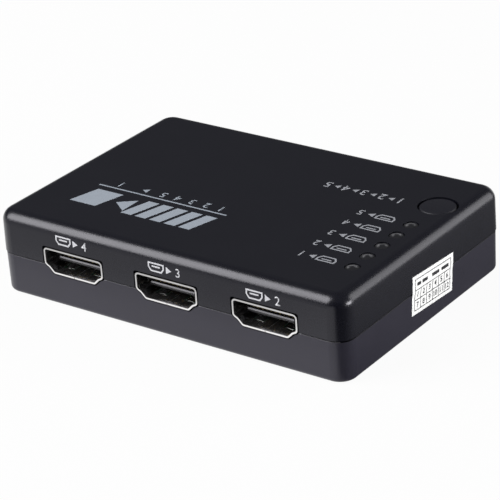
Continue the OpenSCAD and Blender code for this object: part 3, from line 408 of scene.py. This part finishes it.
def numerals(bm, face, text, u, v, high, bold=BOLD):
    """Digits of the built-in typeface, their middle at u, v and their height as given, in millimetres."""
    curve = bpy.data.curves.new("digits", "FONT")
    curve.body = text
    curve.offset = bold
    curve.resolution_u = DIGIT_STEPS
    holder = bpy.data.objects.new("digits", curve)
    bpy.context.collection.objects.link(holder)
    bpy.context.view_layer.update()
    shape = holder.evaluated_get(bpy.context.evaluated_depsgraph_get()).to_mesh()
    flat = bmesh.new()
    flat.from_mesh(shape)
    bmesh.ops.remove_doubles(flat, verts=flat.verts, dist=DIGIT_WELD)
    low = Vector((min(p.co.x for p in flat.verts), min(p.co.y for p in flat.verts)))
    top = Vector((max(p.co.x for p in flat.verts), max(p.co.y for p in flat.verts)))
    size = high / (top.y - low.y)
    middle = (low + top) / 2
    for point in flat.verts:
        du, dv = (point.co.x - middle.x) * size, (point.co.y - middle.y) * size
        point.co = face.at(u + du, v + dv, INK_OUT)
    made = bmesh.ops.extrude_face_region(flat, geom=flat.faces[:], use_keep_orig=True)
    sunk = [item for item in made["geom"] if isinstance(item, bmesh.types.BMVert)]
    bmesh.ops.translate(flat, verts=sunk, vec=face.out * (-(INK_IN + INK_OUT) * MM))
    bmesh.ops.recalc_face_normals(flat, faces=flat.faces)
    copy = bpy.data.meshes.new("digits")
    flat.to_mesh(copy)
    bm.from_mesh(copy)
    flat.free()
    holder.to_mesh_clear()
    bpy.data.objects.remove(holder)
    bpy.data.curves.remove(curve)
    bpy.data.meshes.remove(copy)


def piece(name, bm, material, body=CASE):
    """Turns a bmesh into a named piece that rides on a body."""
    bmesh.ops.recalc_face_normals(bm, faces=bm.faces)
    data = bpy.data.meshes.new(name)
    bm.to_mesh(data)
    bm.free()
    data.materials.append(material)
    made = bpy.data.objects.new(name, data)
    bpy.context.collection.objects.link(made)
    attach(made, body)
    return made


def socket_icon(bm, face, u, wide, line):
    """Outline of a socket's mouth with its tongue."""
    high, foot, tongue = wide * 0.46, wide * 0.34, wide * 0.28
    waist, foot_grow = 0.1, 0.6

    def ring(grow):
        w, h, f = wide / 2 + grow, high / 2 + grow, foot + grow * foot_grow
        return [(u - f, -h), (u + f, -h), (u + w, -h * waist), (u + w, h), (u - w, h), (u - w, -h * waist)]
    band(bm, face, ring(-line / 2), ring(line / 2))
    plate(bm, face, rectangle(u - tongue, 0.0, u + tongue, line))


def arrow(bm, face, u, v, wide, high):
    """Solid triangle that points to the right."""
    plate(bm, face, [(u - wide / 2, v - high / 2), (u + wide / 2, v), (u - wide / 2, v + high / 2)])


def socket_mark(bm, face, high, digit):
    """Socket outline, arrow and numeral, or a second arrow, in a row about five heights wide."""
    icon_u, icon_wide, icon_line = -1.5 * high, 2.2 * high, 0.2 * high
    arrow_u, next_u, arrow_wide, arrow_high = 0.4 * high, 1.5 * high, 0.8 * high, 0.9 * high
    digit_u, digit_high = 1.75 * high, 1.15 * high
    socket_icon(bm, face, icon_u, icon_wide, icon_line)
    arrow(bm, face, arrow_u, 0.0, arrow_wide, arrow_high)
    if digit:
        numerals(bm, face, digit, digit_u, 0.0, digit_high)
    else:
        arrow(bm, face, next_u, 0.0, arrow_wide, arrow_high)


def side_face(side, x, z):
    """Place on the top cover's leaning long side, above a socket."""
    y = side * (HALF_WID - (z - PARTING_Z) * math.tan(TOP_DRAFT))
    up = (0.0, -side * math.sin(TOP_DRAFT), math.cos(TOP_DRAFT))
    return Face((x, y, z), (-side, 0.0, 0.0), up)


def end_face(y, z):
    """Place on the top cover's leaning left-hand end."""
    x = -(HALF_LEN - (z - PARTING_Z) * math.tan(TOP_DRAFT))
    up = (math.sin(TOP_DRAFT), 0.0, math.cos(TOP_DRAFT))
    return Face((x, y, z), (0.0, -1.0, 0.0), up)


def top_face(x, y):
    """Place on the top, read from the far side."""
    return Face((x, y, HIGH), (-1.0, 0.0, 0.0), (0.0, -1.0, 0.0))


class CaseSettings(PropertyGroup):
    """Finish of the moulded case"""
    top_colour: FloatVectorProperty(
        name="Top cover", description="Colour of the top cover and button", subtype="COLOR",
        default=(0.0058, 0.0060, 0.0104), min=0.0, max=1.0)
    face_colour: FloatVectorProperty(
        name="Top face", description="Colour of the matt face of the top cover", subtype="COLOR",
        default=(0.0005, 0.0009, 0.0050), min=0.0, max=1.0)
    base_colour: FloatVectorProperty(
        name="Bottom cover", description="Colour of the bottom cover", subtype="COLOR",
        default=(0.0220, 0.0207, 0.0318), min=0.0, max=1.0)
    rough: FloatProperty(
        name="Roughness", description="Roughness of the moulded covers", default=0.28, min=0.0, max=1.0,
        subtype="FACTOR")
    grain: FloatProperty(
        name="Grain", description="Width of the moulded grain in millimetres", default=0.16, min=0.02,
        max=1.0)


class SocketSettings(PropertyGroup):
    """Colours of the sockets"""
    metal: FloatVectorProperty(
        name="Shell", description="Colour of the plated shells", subtype="COLOR",
        default=(0.80, 0.79, 0.79), min=0.0, max=1.0)
    # Darker than bare gold: painted shade, as the contacts sit deep in the sockets
    gold_painted_shade: FloatVectorProperty(
        name="Contacts", description="Colour of the contacts", subtype="COLOR",
        default=(0.50, 0.36, 0.16), min=0.0, max=1.0)
    black: FloatVectorProperty(
        name="Insulator", description="Colour of the sockets' mouldings", subtype="COLOR",
        default=(0.010, 0.010, 0.011), min=0.0, max=1.0)


class MarkSettings(PropertyGroup):
    """Inks and heights of the printed marks"""
    ink: FloatVectorProperty(
        name="Side ink", description="Colour of the marks over the sockets", subtype="COLOR",
        default=(0.72, 0.72, 0.76), min=0.0, max=1.0)
    lamp_ink: FloatVectorProperty(
        name="Lamp ink", description="Colour of the marks beside the lamps and button", subtype="COLOR",
        default=(0.40, 0.41, 0.445), min=0.0, max=1.0)
    emblem_ink: FloatVectorProperty(
        name="Emblem ink", description="Colour of the large mark on the top", subtype="COLOR",
        default=(0.415, 0.46, 0.525), min=0.0, max=1.0)
    side_high: FloatProperty(
        name="Side mark", description="Height of the marks over the sockets, in millimetres", default=1.6,
        min=0.5, max=3.0)
    lamp_high: FloatProperty(
        name="Lamp mark", description="Height of the marks beside the lamps, in millimetres", default=1.75,
        min=0.5, max=3.0)


class StageSettings(PropertyGroup):
    """Lens and light of the studio"""
    lens: FloatProperty(
        name="Lens", description="Focal length of the camera", default=161.12, min=10.0, max=400.0,
        unit="CAMERA")
    key: FloatProperty(
        name="Key", description="Power of the softbox on the left", default=10.5, min=0.0, max=500.0,
        subtype="POWER")
    rim: FloatProperty(
        name="Rim", description="Power of the tall softbox behind the right-hand end", default=3.4, min=0.0,
        max=500.0, subtype="POWER")
    side: FloatProperty(
        name="Side", description="Power of the low softbox that faces the label", default=7.9, min=0.0,
        max=500.0, subtype="POWER")
    room: FloatProperty(
        name="Room", description="Brightness of the room", default=0.03, min=0.0, max=2.0)
    ceiling: FloatProperty(
        name="Ceiling", description="Brightness that the ceiling adds", default=0.12, min=0.0, max=2.0)
    glow: FloatProperty(
        name="Glow", description="Brightness of the backdrop behind the box", default=0.20, min=0.0, max=2.0)


class SWITCHBOX_OT_covers(Operator):
    """Moulded finish of the covers and the button, and zinc on the screws"""
    bl_idname = "switchbox.covers"
    bl_label = "Covers"

    def execute(self, context):
        case = context.scene.switchbox_case
        grain = {"grain_mm": case.grain, "depth_mm": 0.010}
        button_tone, button_rough, base_rough = 1.2, 0.28, 0.03
        top = moulded("moulded_top", case.top_colour, case.rough, **grain, matt=case.face_colour)
        button_colour = shade(case.top_colour, button_tone)
        button = moulded("moulded_button", button_colour, case.rough + button_rough, **grain)
        # The bottom cover's rim bevel gets a painted highlight on its long sides and painted shade at its
        # ends
        base = moulded("moulded_base", case.base_colour, case.rough + base_rough, **grain, rim=True)
        dress(top, "top_cover")
        dress(button, "select_button")
        dress(base, "bottom_cover")
        dress(plated("zinc_screws", ZINC, rough=0.34), "case_screws", "board_screws")
        return {"FINISHED"}


class SWITCHBOX_OT_sockets(Operator):
    """Plated shells, black insulators and gilt contacts of the video sockets"""
    bl_idname = "switchbox.sockets"
    bl_label = "Video sockets"

    def execute(self, context):
        socket = context.scene.switchbox_socket
        # The shells are painted paler below their waist: a painted highlight
        shell = plated("nickel_shell", socket.metal, rough=0.24, lay=(1.0, 0.15, 1.0), painted_highlight_below=PORT_WAIST)
        black = moulded("socket_black", socket.black, rough=0.26, grain_mm=0.3, depth_mm=0.004)
        # The contacts' colour is darkened gold, as painted shade
        gilt = plated("gilt_contact", socket.gold_painted_shade, rough=0.2, lay=(1.0, 0.1, 1.0))
        dress(shell, *(f"shell_{name}" for name in SOCKETS))
        dress(black, *(f"insulator_{name}" for name in SOCKETS))
        dress(gilt, *(f"contacts_{name}" for name in SOCKETS))
        return {"FINISHED"}


class SWITCHBOX_OT_round_sockets(Operator):
    """Power and remote sockets on the left-hand end"""
    bl_idname = "switchbox.round_sockets"
    bl_label = "Round sockets"

    def execute(self, context):
        socket = context.scene.switchbox_socket
        black = moulded("jack_black", socket.black, rough=0.34, grain_mm=0.25, depth_mm=0.005)
        dress(black, "power_body", "remote_body")
        dress(plated("jack_nickel", socket.metal, rough=0.2), "power_pin", "remote_bush")
        dress(plated("jack_bronze", BRONZE, rough=0.3), "power_contacts", "remote_contacts")
        return {"FINISHED"}


class SWITCHBOX_OT_lamps(Operator):
    """Smoke-tinted lamps and their tinned leads"""
    bl_idname = "switchbox.lamps"
    bl_label = "Lamps"

    def execute(self, context):
        lamps = [f"led_{i + 1}" for i in range(INPUTS)]
        dress(resin("lamp_resin", LAMP_DARK, LAMP_CUP_AND_REFLECTION), *lamps)
        dress(plated("lamp_leads", TIN, rough=0.3), "led_leads")
        return {"FINISHED"}


class SWITCHBOX_OT_board(Operator):
    """Circuit board, its chips and small parts, and the push switch under the button"""
    bl_idname = "switchbox.board"
    bl_label = "Circuit board"

    def execute(self, context):
        dress(laminate("board_laminate", SOLDER_MASK, MASKED_COPPER), "circuit_board")
        epoxy = moulded("chip_epoxy", EPOXY, rough=0.55, grain_mm=0.09, depth_mm=0.006)
        dress(epoxy, "switch_chip", "control_chip", "regulator")
        tin = plated("tinned_pins", TIN, rough=0.32)
        dress(tin, "switch_chip_pins", "control_chip_pins", "regulator_pins", "switch_terminals")
        dress(plated("can_metal", CAN, rough=0.22), "crystal", "filter_capacitors", "switch_frame")
        black = moulded("part_black", PART_BLACK, rough=0.45, grain_mm=0.2, depth_mm=0.006)
        dress(black, "capacitor_feet", "switch_body", "switch_plunger")
        ceramic = moulded("part_ceramic", CERAMIC, rough=0.5, grain_mm=0.12, depth_mm=0.004)
        dress(ceramic, "chip_capacitors")
        resistor = moulded("part_resistor", RESISTOR, rough=0.4, grain_mm=0.12, depth_mm=0.004)
        dress(resistor, "chip_resistors")
        self.dome(plated("dome_spring", SPRING, rough=0.24))
        return {"FINISHED"}

    def dome(self, metal):
        """Snap dome under the plunger, which the button flattens."""
        weld = 0.001 * MM
        dress(metal, "switch_dome")
        bm = bmesh.new()
        bm.from_mesh(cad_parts["switch_dome"].data)
        bmesh.ops.remove_doubles(bm, verts=bm.verts, dist=weld)
        made = piece("snap_dome", bm, metal)
        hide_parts("switch_dome")
        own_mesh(made)


# Marks over the sockets: numeral, place in the row, and height above the underside in millimetres
NEAR_MARKS = (("2", 1, 14.15), ("3", 0, 14.37), ("4", -1, 14.65))
FAR_MARKS = (("1", 1, 14.4), ("", 0, 14.4), ("5", -1, 14.4))
# How far the near marks stand to the right of their sockets' middles
NEAR_MARK_SHIFT = 0.4


class SWITCHBOX_OT_side_marks(Operator):
    """Printed marks over the video sockets on both long sides"""
    bl_idname = "switchbox.side_marks"
    bl_label = "Side marks"

    def execute(self, context):
        marks = context.scene.switchbox_mark
        ink = printed("ink_side", marks.ink, rough=0.45)
        near = ("near_socket_marks", -1, NEAR_MARKS, NEAR_MARK_SHIFT)
        far = ("far_socket_marks", 1, FAR_MARKS, 0.0)
        for name, side, row, shift in (near, far):
            bm = bmesh.new()
            for digit, step, z in row:
                face = side_face(side, PORT_SHIFT + step * PORT_PITCH + shift, z)
                socket_mark(bm, face, marks.side_high, digit)
            piece(name, bm, ink)
        return {"FINISHED"}


# Height of the marks on the left-hand end above the underside, in millimetres
END_MARK_Z = 14.6


class SWITCHBOX_OT_end_marks(Operator):
    """Polarity sign over the power socket and waves over the remote socket"""
    bl_idname = "switchbox.end_marks"
    bl_label = "End marks"

    def execute(self, context):
        ink = printed("ink_end", context.scene.switchbox_mark.ink, rough=0.45)
        bm = bmesh.new()
        self.polarity(bm, end_face(POWER_Y, END_MARK_Z))
        self.waves(bm, end_face(REMOTE_Y, END_MARK_Z))
        piece("end_marks", bm, ink)
        return {"FINISHED"}

    def polarity(self, bm, face):
        """A dot in a ring, with a lead to a minus sign on the left and to a plus sign on the right."""
        line, lead_line, stroke = 0.13, 0.14, 0.12
        ring, dot, sign_u, sign_r, arm = 0.68, 0.26, 2.1, 0.5, 0.22
        band(bm, face, disc(ring - line, steps=24), disc(ring, steps=24))
        plate(bm, face, disc(dot))
        lead_end = sign_u - sign_r
        for side in (-1, 1):
            plate(bm, face, bar(side * (ring + lead_end) / 2, 0.0, lead_end - ring, lead_line))
            band(bm, face, disc(sign_r - line, side * sign_u), disc(sign_r, side * sign_u))
            plate(bm, face, bar(side * sign_u, 0.0, 2 * arm, stroke))
        for low, high in ((-arm, -stroke / 2), (stroke / 2, arm)):
            plate(bm, face, rectangle(sign_u - stroke / 2, low, sign_u + stroke / 2, high))

    def waves(self, bm, face):
        """A dot with three arcs to its right."""
        dot, source, half_line = 0.24, -1.1, 0.08
        arc = {"u": source, "steps": 12, "start": -0.75, "sweep": 1.5, "ends": True}
        plate(bm, face, disc(dot, source))
        for radius in (0.7, 1.25, 1.8):
            band(bm, face, disc(radius - half_line, **arc), disc(radius + half_line, **arc), closed=False)


# Middles of the marks on the top, in millimetres: beside the lamps, beside the button, and the emblem
LAMP_MARK_X, LAMP_MARK_SHIFT = 27.0, 0.3
CHOICE_MARK_PLACE = (19.5, 12.45)
EMBLEM_PLACE = (-14.45, -14.3)


class SWITCHBOX_OT_top_marks(Operator):
    """Marks on the top: one per lamp, the order of choice beside the button, and the five-to-one emblem"""
    bl_idname = "switchbox.top_marks"
    bl_label = "Top marks"

    def execute(self, context):
        marks = context.scene.switchbox_mark
        self.lamps(printed("ink_lamp", marks.lamp_ink, rough=0.5), marks.lamp_high)
        self.choice(printed("ink_choice", marks.lamp_ink, rough=0.5))
        self.emblem(printed("ink_emblem", marks.emblem_ink, rough=0.42))
        return {"FINISHED"}

    def lamps(self, ink, high):
        """A socket mark beside each lamp."""
        bm = bmesh.new()
        for i in range(INPUTS):
            y = LAMP_ROW + (i - INPUTS // 2) * LAMP_PITCH + LAMP_MARK_SHIFT
            socket_mark(bm, top_face(LAMP_MARK_X, y), high, str(i + 1))
        piece("lamp_marks", bm, ink)

    def choice(self, ink):
        """The numerals in a row with arrows between them."""
        pitch, digit_high, arrow_wide, arrow_high = 4.2, 2.3, 1.2, 1.4
        bm = bmesh.new()
        face = top_face(*CHOICE_MARK_PLACE)
        for i in range(INPUTS):
            u = (i - INPUTS // 2) * pitch
            numerals(bm, face, str(i + 1), u, 0.0, digit_high)
            if i < INPUTS - 1:
                arrow(bm, face, u + pitch / 2, 0.0, arrow_wide, arrow_high)
        piece("choice_marks", bm, ink)

    def emblem(self, ink):
        """Five bars, an arrow and one block, over a line and a row of numerals."""
        high, lean, pitch = 6.8, 1.9, 3.55
        first_bar, bar_wide, block_u, block_wide = -13.0, 2.6, 12.2, 6.4
        arrow_u, arrow_wide, arrow_high = 5.4, 3.6, 5.2
        line_left, line_right, line_foot, line_head = -16.0, 15.7, -5.45, -5.05
        digit_v, digit_high, first_digit, last_digit = -7.2, 2.0, -13.4, 11.6
        small_wide, small_high = 1.4, 1.6
        bm = bmesh.new()
        face = top_face(*EMBLEM_PLACE)
        for i in range(INPUTS):
            plate(bm, face, bar(first_bar + i * pitch, 0.0, bar_wide, high, lean))
            numerals(bm, face, str(i + 1), first_digit + i * pitch, digit_v, digit_high)
        arrow(bm, face, arrow_u, 0.0, arrow_wide, arrow_high)
        plate(bm, face, bar(block_u, 0.0, block_wide, high, lean))
        plate(bm, face, rectangle(line_left, line_foot, line_right, line_head))
        arrow(bm, face, arrow_u, digit_v, small_wide, small_high)
        numerals(bm, face, "1", last_digit, digit_v, digit_high)
        piece("top_emblem", bm, ink)


# Grid of the label in millimetres: its margins, the height of a row of numbers, its line and its numbers
GRID_SIDE, GRID_END, GRID_ROW, GRID_LINE, GRID_DIGIT = 0.9, 0.8, 2.1, 0.17, 1.15
GRID_COLUMNS, GRID_ROWS = 6, 2
# Solid bars in the label's head: height, and the middle and width of each
HEAD_HIGH = 0.68
HEAD_BARS = ((-5.0, 1.3), (-2.9, 1.9), (0.9, 2.6), (4.3, 2.6))


def label_x(z):
    """Outer face of the paper label at height z, in millimetres."""
    low = HALF_LEN - PARTING_STEP
    turn_high, turn_low = PARTING_Z + REVEAL_HIGH, PARTING_Z - LABEL_BRIDGE
    x_high = HALF_LEN - REVEAL_HIGH * math.tan(TOP_DRAFT)
    x_low = low - LABEL_BRIDGE * math.tan(BASE_DRAFT)
    if z >= turn_high:
        x = HALF_LEN - (z - PARTING_Z) * math.tan(TOP_DRAFT)
    elif z >= turn_low:
        x = x_low + (x_high - x_low) * (z - turn_low) / (turn_high - turn_low)
    else:
        x = low - (PARTING_Z - z) * math.tan(BASE_DRAFT)
    return x + LABEL_T


class SWITCHBOX_OT_label(Operator):
    """Paper label with its printed grid and plain numbers"""
    bl_idname = "switchbox.label"
    bl_label = "Label"

    def execute(self, context):
        dress(paper("label_paper", PAPER), "date_label")
        right = (0.0, math.cos(LABEL_LEAN), math.sin(LABEL_LEAN))
        up = (0.0, -math.sin(LABEL_LEAN), math.cos(LABEL_LEAN))
        face = Face((HALF_LEN, LABEL_Y, PARTING_Z - LABEL_DROP), right, up)
        bm = bmesh.new()
        self.grid(bm, face)
        self.follow_paper(bm)
        piece("label_print", bm, printed("ink_label", LABEL_INK, rough=0.6))
        return {"FINISHED"}

    def grid(self, bm, face):
        """Head with solid bars over two rows of numbered cells."""
        half_u, half_v = LABEL_LEN / 2 - GRID_SIDE, LABEL_HIGH / 2 - GRID_END
        cell = 2 * half_u / GRID_COLUMNS
        cells_top = -half_v + GRID_ROWS * GRID_ROW
        for v in (*(-half_v + i * GRID_ROW for i in range(GRID_ROWS + 1)), half_v):
            plate(bm, face, bar(0.0, v, 2 * half_u, GRID_LINE))
        for i in range(GRID_COLUMNS + 1):
            u = -half_u + i * cell
            top = half_v if i in (0, GRID_COLUMNS) else cells_top
            plate(bm, face, rectangle(u - GRID_LINE / 2, -half_v, u + GRID_LINE / 2, top))
        for i in range(GRID_ROWS * GRID_COLUMNS):
            row, column = divmod(i, GRID_COLUMNS)
            u = -half_u + (column + 0.5) * cell
            v = cells_top - (row + 0.5) * GRID_ROW
            numerals(bm, face, str(i + 1), u, v, GRID_DIGIT, LABEL_BOLD)
        for u, wide in HEAD_BARS:
            plate(bm, face, bar(u, (cells_top + half_v) / 2, wide, HEAD_HIGH))

    def follow_paper(self, bm):
        """Lays the flat print on the paper, which bends where it bridges the parting line."""
        for z in (PARTING_Z + REVEAL_HIGH, PARTING_Z - LABEL_BRIDGE):
            geometry = bm.verts[:] + bm.edges[:] + bm.faces[:]
            bmesh.ops.bisect_plane(bm, geom=geometry, plane_co=(0, 0, z * MM), plane_no=(0, 0, 1))
        for point in bm.verts:
            point.co.x += (label_x(point.co.z / MM) - HALF_LEN) * MM


# Softboxes: the setting that holds the power, the place, and the width and height, in metres
SOFTBOXES = (
    ("key", (-0.54, -0.55, 0.55), (0.62, 0.74)),
    ("rim", (0.64, 0.78, 0.34), (0.54, 0.68)),
    ("side", (1.00, 0.24, 0.14), (0.56, 0.26)),
)
# The camera: its place in millimetres, and its right, up and back directions
CAMERA_PLACE = (243.5, -320.42, 200.13)
CAMERA_AXES = ((0.8123, 0.5798, -0.0624), (-0.2071, 0.3868, 0.8986), (0.5452, -0.7170, 0.4343))
# Its sensor in millimetres, and the nearest and farthest that it sees, in metres
CAMERA_SENSOR, CAMERA_NEAR, CAMERA_FAR = 36.0, 0.01, 20.0
# Half the floor's width in metres, and how far it is below the underside in millimetres
FLOOR_HALF, FLOOR_GAP = 3.0, 0.05
WHITE, FLOOR_GREY, ROOM_TINT = (1.0, 1.0, 1.0, 1.0), (0.82, 0.82, 0.82, 1.0), (0.96, 0.97, 1.0, 1.0)
# Share of white that the camera sees in the floor, which leaves a faint shadow
FLOOR_SHOWN = 0.95


def softbox(name, place, size, power):
    """Oblong area light that faces the box."""
    data = bpy.data.lights.new(name, "AREA")
    data.shape = "RECTANGLE"
    data.size, data.size_y = size
    data.energy = power
    lamp = bpy.data.objects.new(name, data)
    lamp.location = place
    lamp.rotation_euler = (-Vector(place)).to_track_quat("-Z", "Y").to_euler()
    bpy.context.collection.objects.link(lamp)


def coordinate(place, axis):
    """One coordinate of a place or way."""
    return Sock.make(place.tree, "ShaderNodeSeparateXYZ", None, {"Vector": place}, axis)


def ramp(value, start, end, top=1.0):
    """Smooth change from nought where the value is at the start to the top where it is at the end."""
    inputs = {"Value": value, "From Min": start, "From Max": end, "To Max": top}
    return Sock.make(value.tree, "ShaderNodeMapRange", {"interpolation_type": "SMOOTHSTEP"}, inputs)


class SWITCHBOX_OT_stage(Operator):
    """Pale floor, softboxes, room and the camera"""
    bl_idname = "switchbox.stage"
    bl_label = "Stage"

    def execute(self, context):
        stage = context.scene.switchbox_stage
        context.scene.view_settings.view_transform = "Standard"
        self.floor()
        for name, place, size in SOFTBOXES:
            softbox(f"{name}_softbox", place, size, getattr(stage, name))
        self.room(context.scene, stage)
        self.camera(context, stage)
        return {"FINISHED"}

    def camera(self, context, stage):
        """Camera at the photograph's angle."""
        data = bpy.data.cameras.new("camera")
        data.lens = stage.lens
        data.sensor_width = CAMERA_SENSOR
        data.clip_start, data.clip_end = CAMERA_NEAR, CAMERA_FAR
        camera = bpy.data.objects.new("camera", data)
        turned = Matrix(CAMERA_AXES).transposed().to_4x4()
        camera.matrix_world = Matrix.Translation(Vector(CAMERA_PLACE) * MM) @ turned
        context.collection.objects.link(camera)
        context.scene.camera = camera

    def room(self, scene, stage):
        """Dim room with a paler ceiling and a low glow behind the box, as from a white backdrop."""
        world = bpy.data.worlds.new("room")
        world.use_nodes = True
        tree = world.node_tree
        low_rise, high_rise, back_way = (0.42, 0.32), (0.46, 0.62), (0.20, 0.75)
        way = Sock.make(tree, "ShaderNodeTexCoord", out="Generated")
        rise = coordinate(way, "Z")
        low = ramp(rise, *low_rise)
        high = ramp(rise, *high_rise, stage.ceiling)
        behind = ramp(coordinate(way, "Y"), *back_way, stage.glow)
        ground = tree.nodes["Background"]
        ground.inputs["Color"].default_value = ROOM_TINT
        tree.links.new((stage.room + high + low * behind).socket, ground.inputs["Strength"])
        scene.world = world

    def floor(self):
        """White floor that keeps a faint shadow and is open to views from below."""
        data = bpy.data.meshes.new("floor")
        half, low = FLOOR_HALF, -FLOOR_GAP * MM
        corners = [(-half, -half, low), (half, -half, low), (half, half, low), (-half, half, low)]
        data.from_pydata(corners, [], [(0, 1, 2, 3)])
        ground = bpy.data.objects.new("floor", data)
        bpy.context.collection.objects.link(ground)
        data.materials.append(self.floor_white())

    def floor_white(self):
        """White to the camera, grey in diffuse light, and with a gleam of its own in gloss."""
        material = bpy.data.materials.new("floor_white")
        material.use_nodes = True
        tree = material.node_tree
        tree.nodes.remove(tree.nodes["Principled BSDF"])
        camera, glossy, through = (Sock.make(tree, "ShaderNodeLightPath", out=f"Is {kind} Ray")
                                   for kind in ("Camera", "Glossy", "Transmission"))
        matte = Sock.make(tree, "ShaderNodeBsdfDiffuse", None, {"Color": FLOOR_GREY})
        shown = Sock.make(tree, "ShaderNodeEmission", None, {"Color": WHITE})
        gleam = Sock.make(tree, "ShaderNodeEmission", None, {"Color": self.gleam(tree)})
        clear = Sock.make(tree, "ShaderNodeBsdfTransparent")
        below = Sock.make(tree, "ShaderNodeNewGeometry", out="Backfacing")

        def mix(factor, first, second):
            return Sock.make(tree, "ShaderNodeMixShader", None, {0: factor, 1: first, 2: second})
        plain = mix(camera * FLOOR_SHOWN, matte, shown)
        sided = mix(below, mix((glossy + through).clipped(), plain, gleam), clear)
        tree.links.new(sided.socket, tree.nodes["Material Output"].inputs["Surface"])
        return material

    def gleam(self, tree):
        """Brightness of the floor in gloss, most on the left and near side. Spans are in millimetres."""
        least, slant = 0.04, 0.28
        left_x, left_bright = (42.5, 37.5), 0.60
        close_y, close_bright = (-50.0, -34.0), 0.7
        corner_x, corner_y, corner_bright = (6.0, 24.0), (-38.0, -46.0), 0.35
        behind_y, behind_bright = (-44.0, 6.0), 0.125
        beyond_x, beyond_bright = (48.0, 64.0), 0.85
        place = Sock.make(tree, "ShaderNodeTexCoord", out="Object")
        x, y = coordinate(place, "X") / MM, coordinate(place, "Y") / MM
        left = ramp(x - slant * (-HALF_WID - y).larger(0.0), *left_x, left_bright)
        close = ramp(y, *close_y, close_bright)
        corner = ramp(x, *corner_x, corner_bright) * ramp(y, *corner_y)
        behind = ramp(y, *behind_y, behind_bright) * (1.0 + ramp(x, *beyond_x, beyond_bright))
        return least + (left * (1.0 + close + corner)).larger(behind)


class SWITCHBOX_PT_panel(Panel):
    """Lists the settings and the operators that dress the box"""
    bl_idname = "SWITCHBOX_PT_panel"
    bl_label = "Switch Box"
    bl_space_type = "VIEW_3D"
    bl_region_type = "UI"
    bl_category = "Switch Box"

    def draw(self, context):
        for name in SETTINGS:
            settings = getattr(context.scene, name)
            box = self.layout.box()
            for key in settings.__annotations__:
                box.prop(settings, key)
        for step in STEPS:
            self.layout.operator(step.bl_idname)


SETTINGS = {
    "switchbox_case": CaseSettings,
    "switchbox_socket": SocketSettings,
    "switchbox_mark": MarkSettings,
    "switchbox_stage": StageSettings,
}
STEPS = (
    SWITCHBOX_OT_stage,
    SWITCHBOX_OT_covers,
    SWITCHBOX_OT_sockets,
    SWITCHBOX_OT_round_sockets,
    SWITCHBOX_OT_lamps,
    SWITCHBOX_OT_board,
    SWITCHBOX_OT_side_marks,
    SWITCHBOX_OT_end_marks,
    SWITCHBOX_OT_top_marks,
    SWITCHBOX_OT_label,
)


def register():
    for group in SETTINGS.values():
        bpy.utils.register_class(group)
    for name, group in SETTINGS.items():
        setattr(bpy.types.Scene, name, PointerProperty(type=group))
    for step in STEPS:
        bpy.utils.register_class(step)
    bpy.utils.register_class(SWITCHBOX_PT_panel)


def unregister():
    bpy.utils.unregister_class(SWITCHBOX_PT_panel)
    for step in reversed(STEPS):
        bpy.utils.unregister_class(step)
    for name in SETTINGS:
        delattr(bpy.types.Scene, name)
    for group in reversed(list(SETTINGS.values())):
        bpy.utils.unregister_class(group)


def main():
    register()
    for step in STEPS:
        family, name = step.bl_idname.split(".")
        getattr(getattr(bpy.ops, family), name)()


if __name__ == "__main__":
    main()
